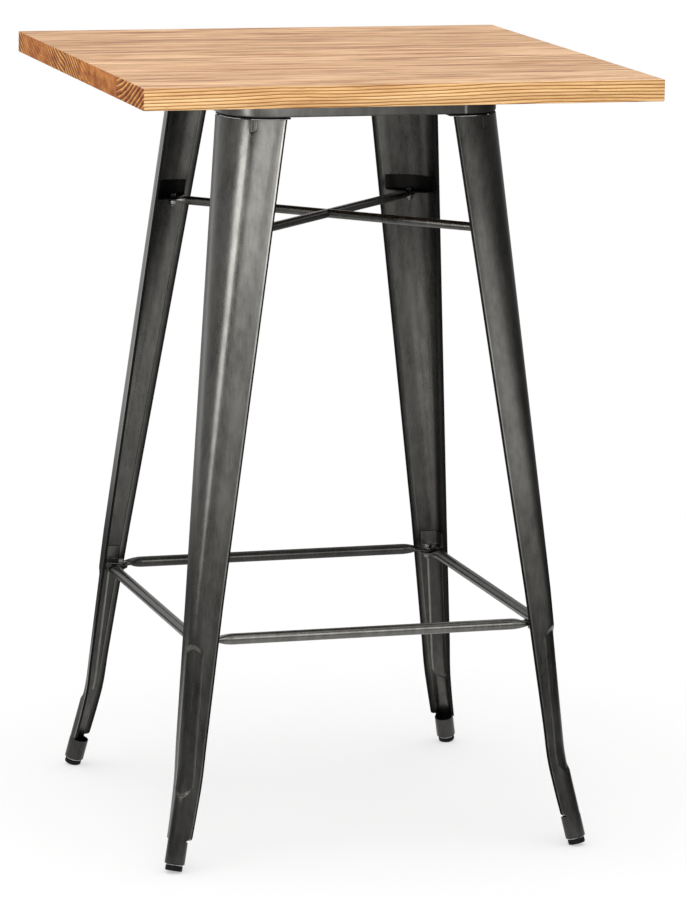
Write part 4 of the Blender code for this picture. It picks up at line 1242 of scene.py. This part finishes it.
# Lamps: name, place, size and power
LAMPS = (
    ("overhead_softbox", (-0.4, -0.4, 3.2), 2.0, 16.0),
    ("front_softbox", (-0.6, -3.2, 1.5), 2.0, 12.0),
)
CAMERA_PLACE = (-1.7814, -5.8707, 1.7085)
CAMERA_AZIMUTH = math.radians(17.1309)
CAMERA_DIP = math.radians(11.1115)
CAMERA_ROLL = math.radians(1.0132)
CAMERA_LENS = 182.885
CAMERA_SENSOR = 36.0
CAMERA_REACH = 200.0


def make_floor():
    """A white floor that keeps the shadow near the part and turns to plain white away from it."""
    m = Material("floor_white")
    away = m.node("ShaderNodeVectorMath", {0: m.coordinates()}, operation="LENGTH").outputs["Value"]
    clear = m.range(away, *FLOOR_CLEAR, FLOOR_LIFT, 1.0)
    m.set(Base_Color=FLOOR_COLOUR, Roughness=0.9, Specular_IOR_Level=0.0)
    path = m.node("ShaderNodeLightPath").outputs
    mirrored = m.math("MAXIMUM", path["Is Glossy Ray"], path["Is Transmission Ray"])
    white_share = m.math("MULTIPLY", clear, m.math("MAXIMUM", path["Is Camera Ray"], mirrored))
    mixed = m.node("ShaderNodeMixShader", {0: white_share, 1: m.shader.outputs["BSDF"], 2: m.glow(1.0)})
    m.surface(mixed.outputs["Shader"])
    bm = bmesh.new()
    bmesh.ops.create_grid(bm, x_segments=FLOOR_SEGMENTS, y_segments=FLOOR_SEGMENTS, size=FLOOR_SIZE / 2)
    floor = new_object("floor", to_mesh("floor", bm, m.material))


def make_world():
    """An even white dome."""
    world = bpy.data.worlds.new("studio")
    bpy.context.scene.world = world
    world.use_nodes = True
    dome = world.node_tree.nodes["Background"].inputs
    dome["Color"].default_value = WHITE
    dome["Strength"].default_value = WORLD_LIGHT


def make_wall():
    """The studio as the metal mirrors it: white behind, dim to the right, softboxes in front."""
    m = Material("studio_wall")
    axes = m.split(m.coordinates())
    level = axes["Z"]
    bearing = m.math("ARCTAN2", *[m.math("MULTIPLY", axes[axis], -1.0) for axis in "XY"])
    side = m.range(axes["X"], -WALL_RADIUS, WALL_RADIUS, WALL_LEFT, WALL_RIGHT)
    back = m.range(axes["Y"], *[WALL_RADIUS * part for part in WALL_BACK], 0.0, 1.0 - WALL_LEFT)
    total = m.math("MULTIPLY", m.math("ADD", side, back), m.range(level, *WALL_FADE, WALL_FLOOR_SHARE, 1.0))
    for towards, spread, height, height_spread, strength in FILLS:
        around = ((bearing, math.radians(towards), math.radians(spread)), (level, height, height_spread))
        offs = [m.math("DIVIDE", m.math("SUBTRACT", value, middle), wide) for value, middle, wide in around]
        squares = [m.math("MULTIPLY", off, off) for off in offs]
        bell = m.math("EXPONENT", m.math("MULTIPLY", m.math("ADD", *squares), -0.5))
        total = m.math("MULTIPLY_ADD", bell, strength, total)
    for towards, half_width, low, high, strength in SOFTBOXES:
        off = m.math("ABSOLUTE", m.math("SUBTRACT", bearing, math.radians(towards)))
        ends = [math.radians(half_width + edge) for edge in (-SOFTBOX_EDGE, SOFTBOX_EDGE)]
        across = m.range(off, *ends, 1.0, 0.0)
        total = m.math("MULTIPLY_ADD", across, m.range(level, low, high, 0.0, strength), total)
    behind = m.range(axes["Y"], *[WALL_RADIUS * part for part in WALL_BEHIND])
    total = m.math("MAXIMUM", total, m.math("MULTIPLY", behind, m.range(level, *WALL_SKY)))
    m.surface(m.glow(total))
    bm = loft([circle((0.0, 0.0), WALL_RADIUS, z) for z in (0.0, WALL_HEIGHT)])
    wall = new_object("studio_wall", to_mesh("studio_wall", bm, m.material))
    wall.visible_camera = False
    wall.visible_diffuse = False
    wall.visible_transmission = False
    wall.visible_shadow = False


def make_lights():
    for name, spot, size, power in LAMPS:
        light = bpy.data.lights.new(name, "AREA")
        light.size = size
        light.energy = power
        lamp = new_object(name, light)
        lamp.location = spot
        aim = Vector((0.0, 0.0, TABLE_HEIGHT)) - lamp.location
        lamp.rotation_euler = aim.to_track_quat("-Z", "Y").to_euler()
        lamp.visible_camera = False
        lamp.visible_glossy = False


def make_camera():
    forward = Vector((
        math.sin(CAMERA_AZIMUTH) * math.cos(CAMERA_DIP),
        math.cos(CAMERA_AZIMUTH) * math.cos(CAMERA_DIP),
        -math.sin(CAMERA_DIP),
    ))
    right = Vector((math.cos(CAMERA_AZIMUTH), -math.sin(CAMERA_AZIMUTH), 0.0))
    up = right.cross(forward)
    across = right * math.cos(CAMERA_ROLL) + up * math.sin(CAMERA_ROLL)
    upward = up * math.cos(CAMERA_ROLL) - right * math.sin(CAMERA_ROLL)
    turn = Matrix((across, upward, -forward)).transposed().to_4x4()
    data = bpy.data.cameras.new("camera")
    data.lens = CAMERA_LENS
    data.sensor_width = CAMERA_SENSOR
    data.clip_end = CAMERA_REACH
    camera = new_object("camera", data)
    camera.matrix_world = Matrix.Translation(CAMERA_PLACE) @ turn
    bpy.context.scene.camera = camera


# Each material by its slot
MATERIALS = {
    "wood_top": make_wood(),
    "gunmetal_steel": make_steel("gunmetal_steel", GUNMETAL, GUNMETAL_ROUGHNESS),
    "black_steel": make_steel("black_steel", BLACKENED, BLACKENED_ROUGHNESS),
    "zinc_steel": make_zinc(),
    "black_rubber": make_rubber(),
}
BRACE_SHELF = (BRACE_SHELF_HEIGHT, BRACE_BOLT_OFFSET, BRACE_SHELF_MARGIN)
RAIL_SHELF = (RAIL_SHELF_HEIGHT, RAIL_BOLT_OFFSET, RAIL_SHELF_MARGIN)
BRACE_UNDERSIDE = BRACE_LEVEL - TAB_THICKNESS / 2
RAIL_UNDERSIDE = CROSS_RAIL_LEVEL - TAB_THICKNESS / 2

make_top()
make_apron()
make_legs()
make_plates()
make_brackets("brace_bracket", *BRACE_SHELF, "black_steel")
make_brackets("rail_bracket", *RAIL_SHELF, "gunmetal_steel")
make_brace()
make_rails()
make_sockets()
make_foot_rings()
make_rubber_feet()
make_joint_fasteners("brace", BRACE_BOLT_OFFSET, BRACE_SHELF_HEIGHT, BRACE_UNDERSIDE, BRACE_HEAD_TONE)
make_joint_fasteners("rail", RAIL_BOLT_OFFSET, RAIL_SHELF_HEIGHT, RAIL_UNDERSIDE, RAIL_HEAD_TONE)
make_screws()
make_floor()
make_world()
make_wall()
make_lights()
make_camera()
bpy.context.scene.view_settings.view_transform = "Standard"
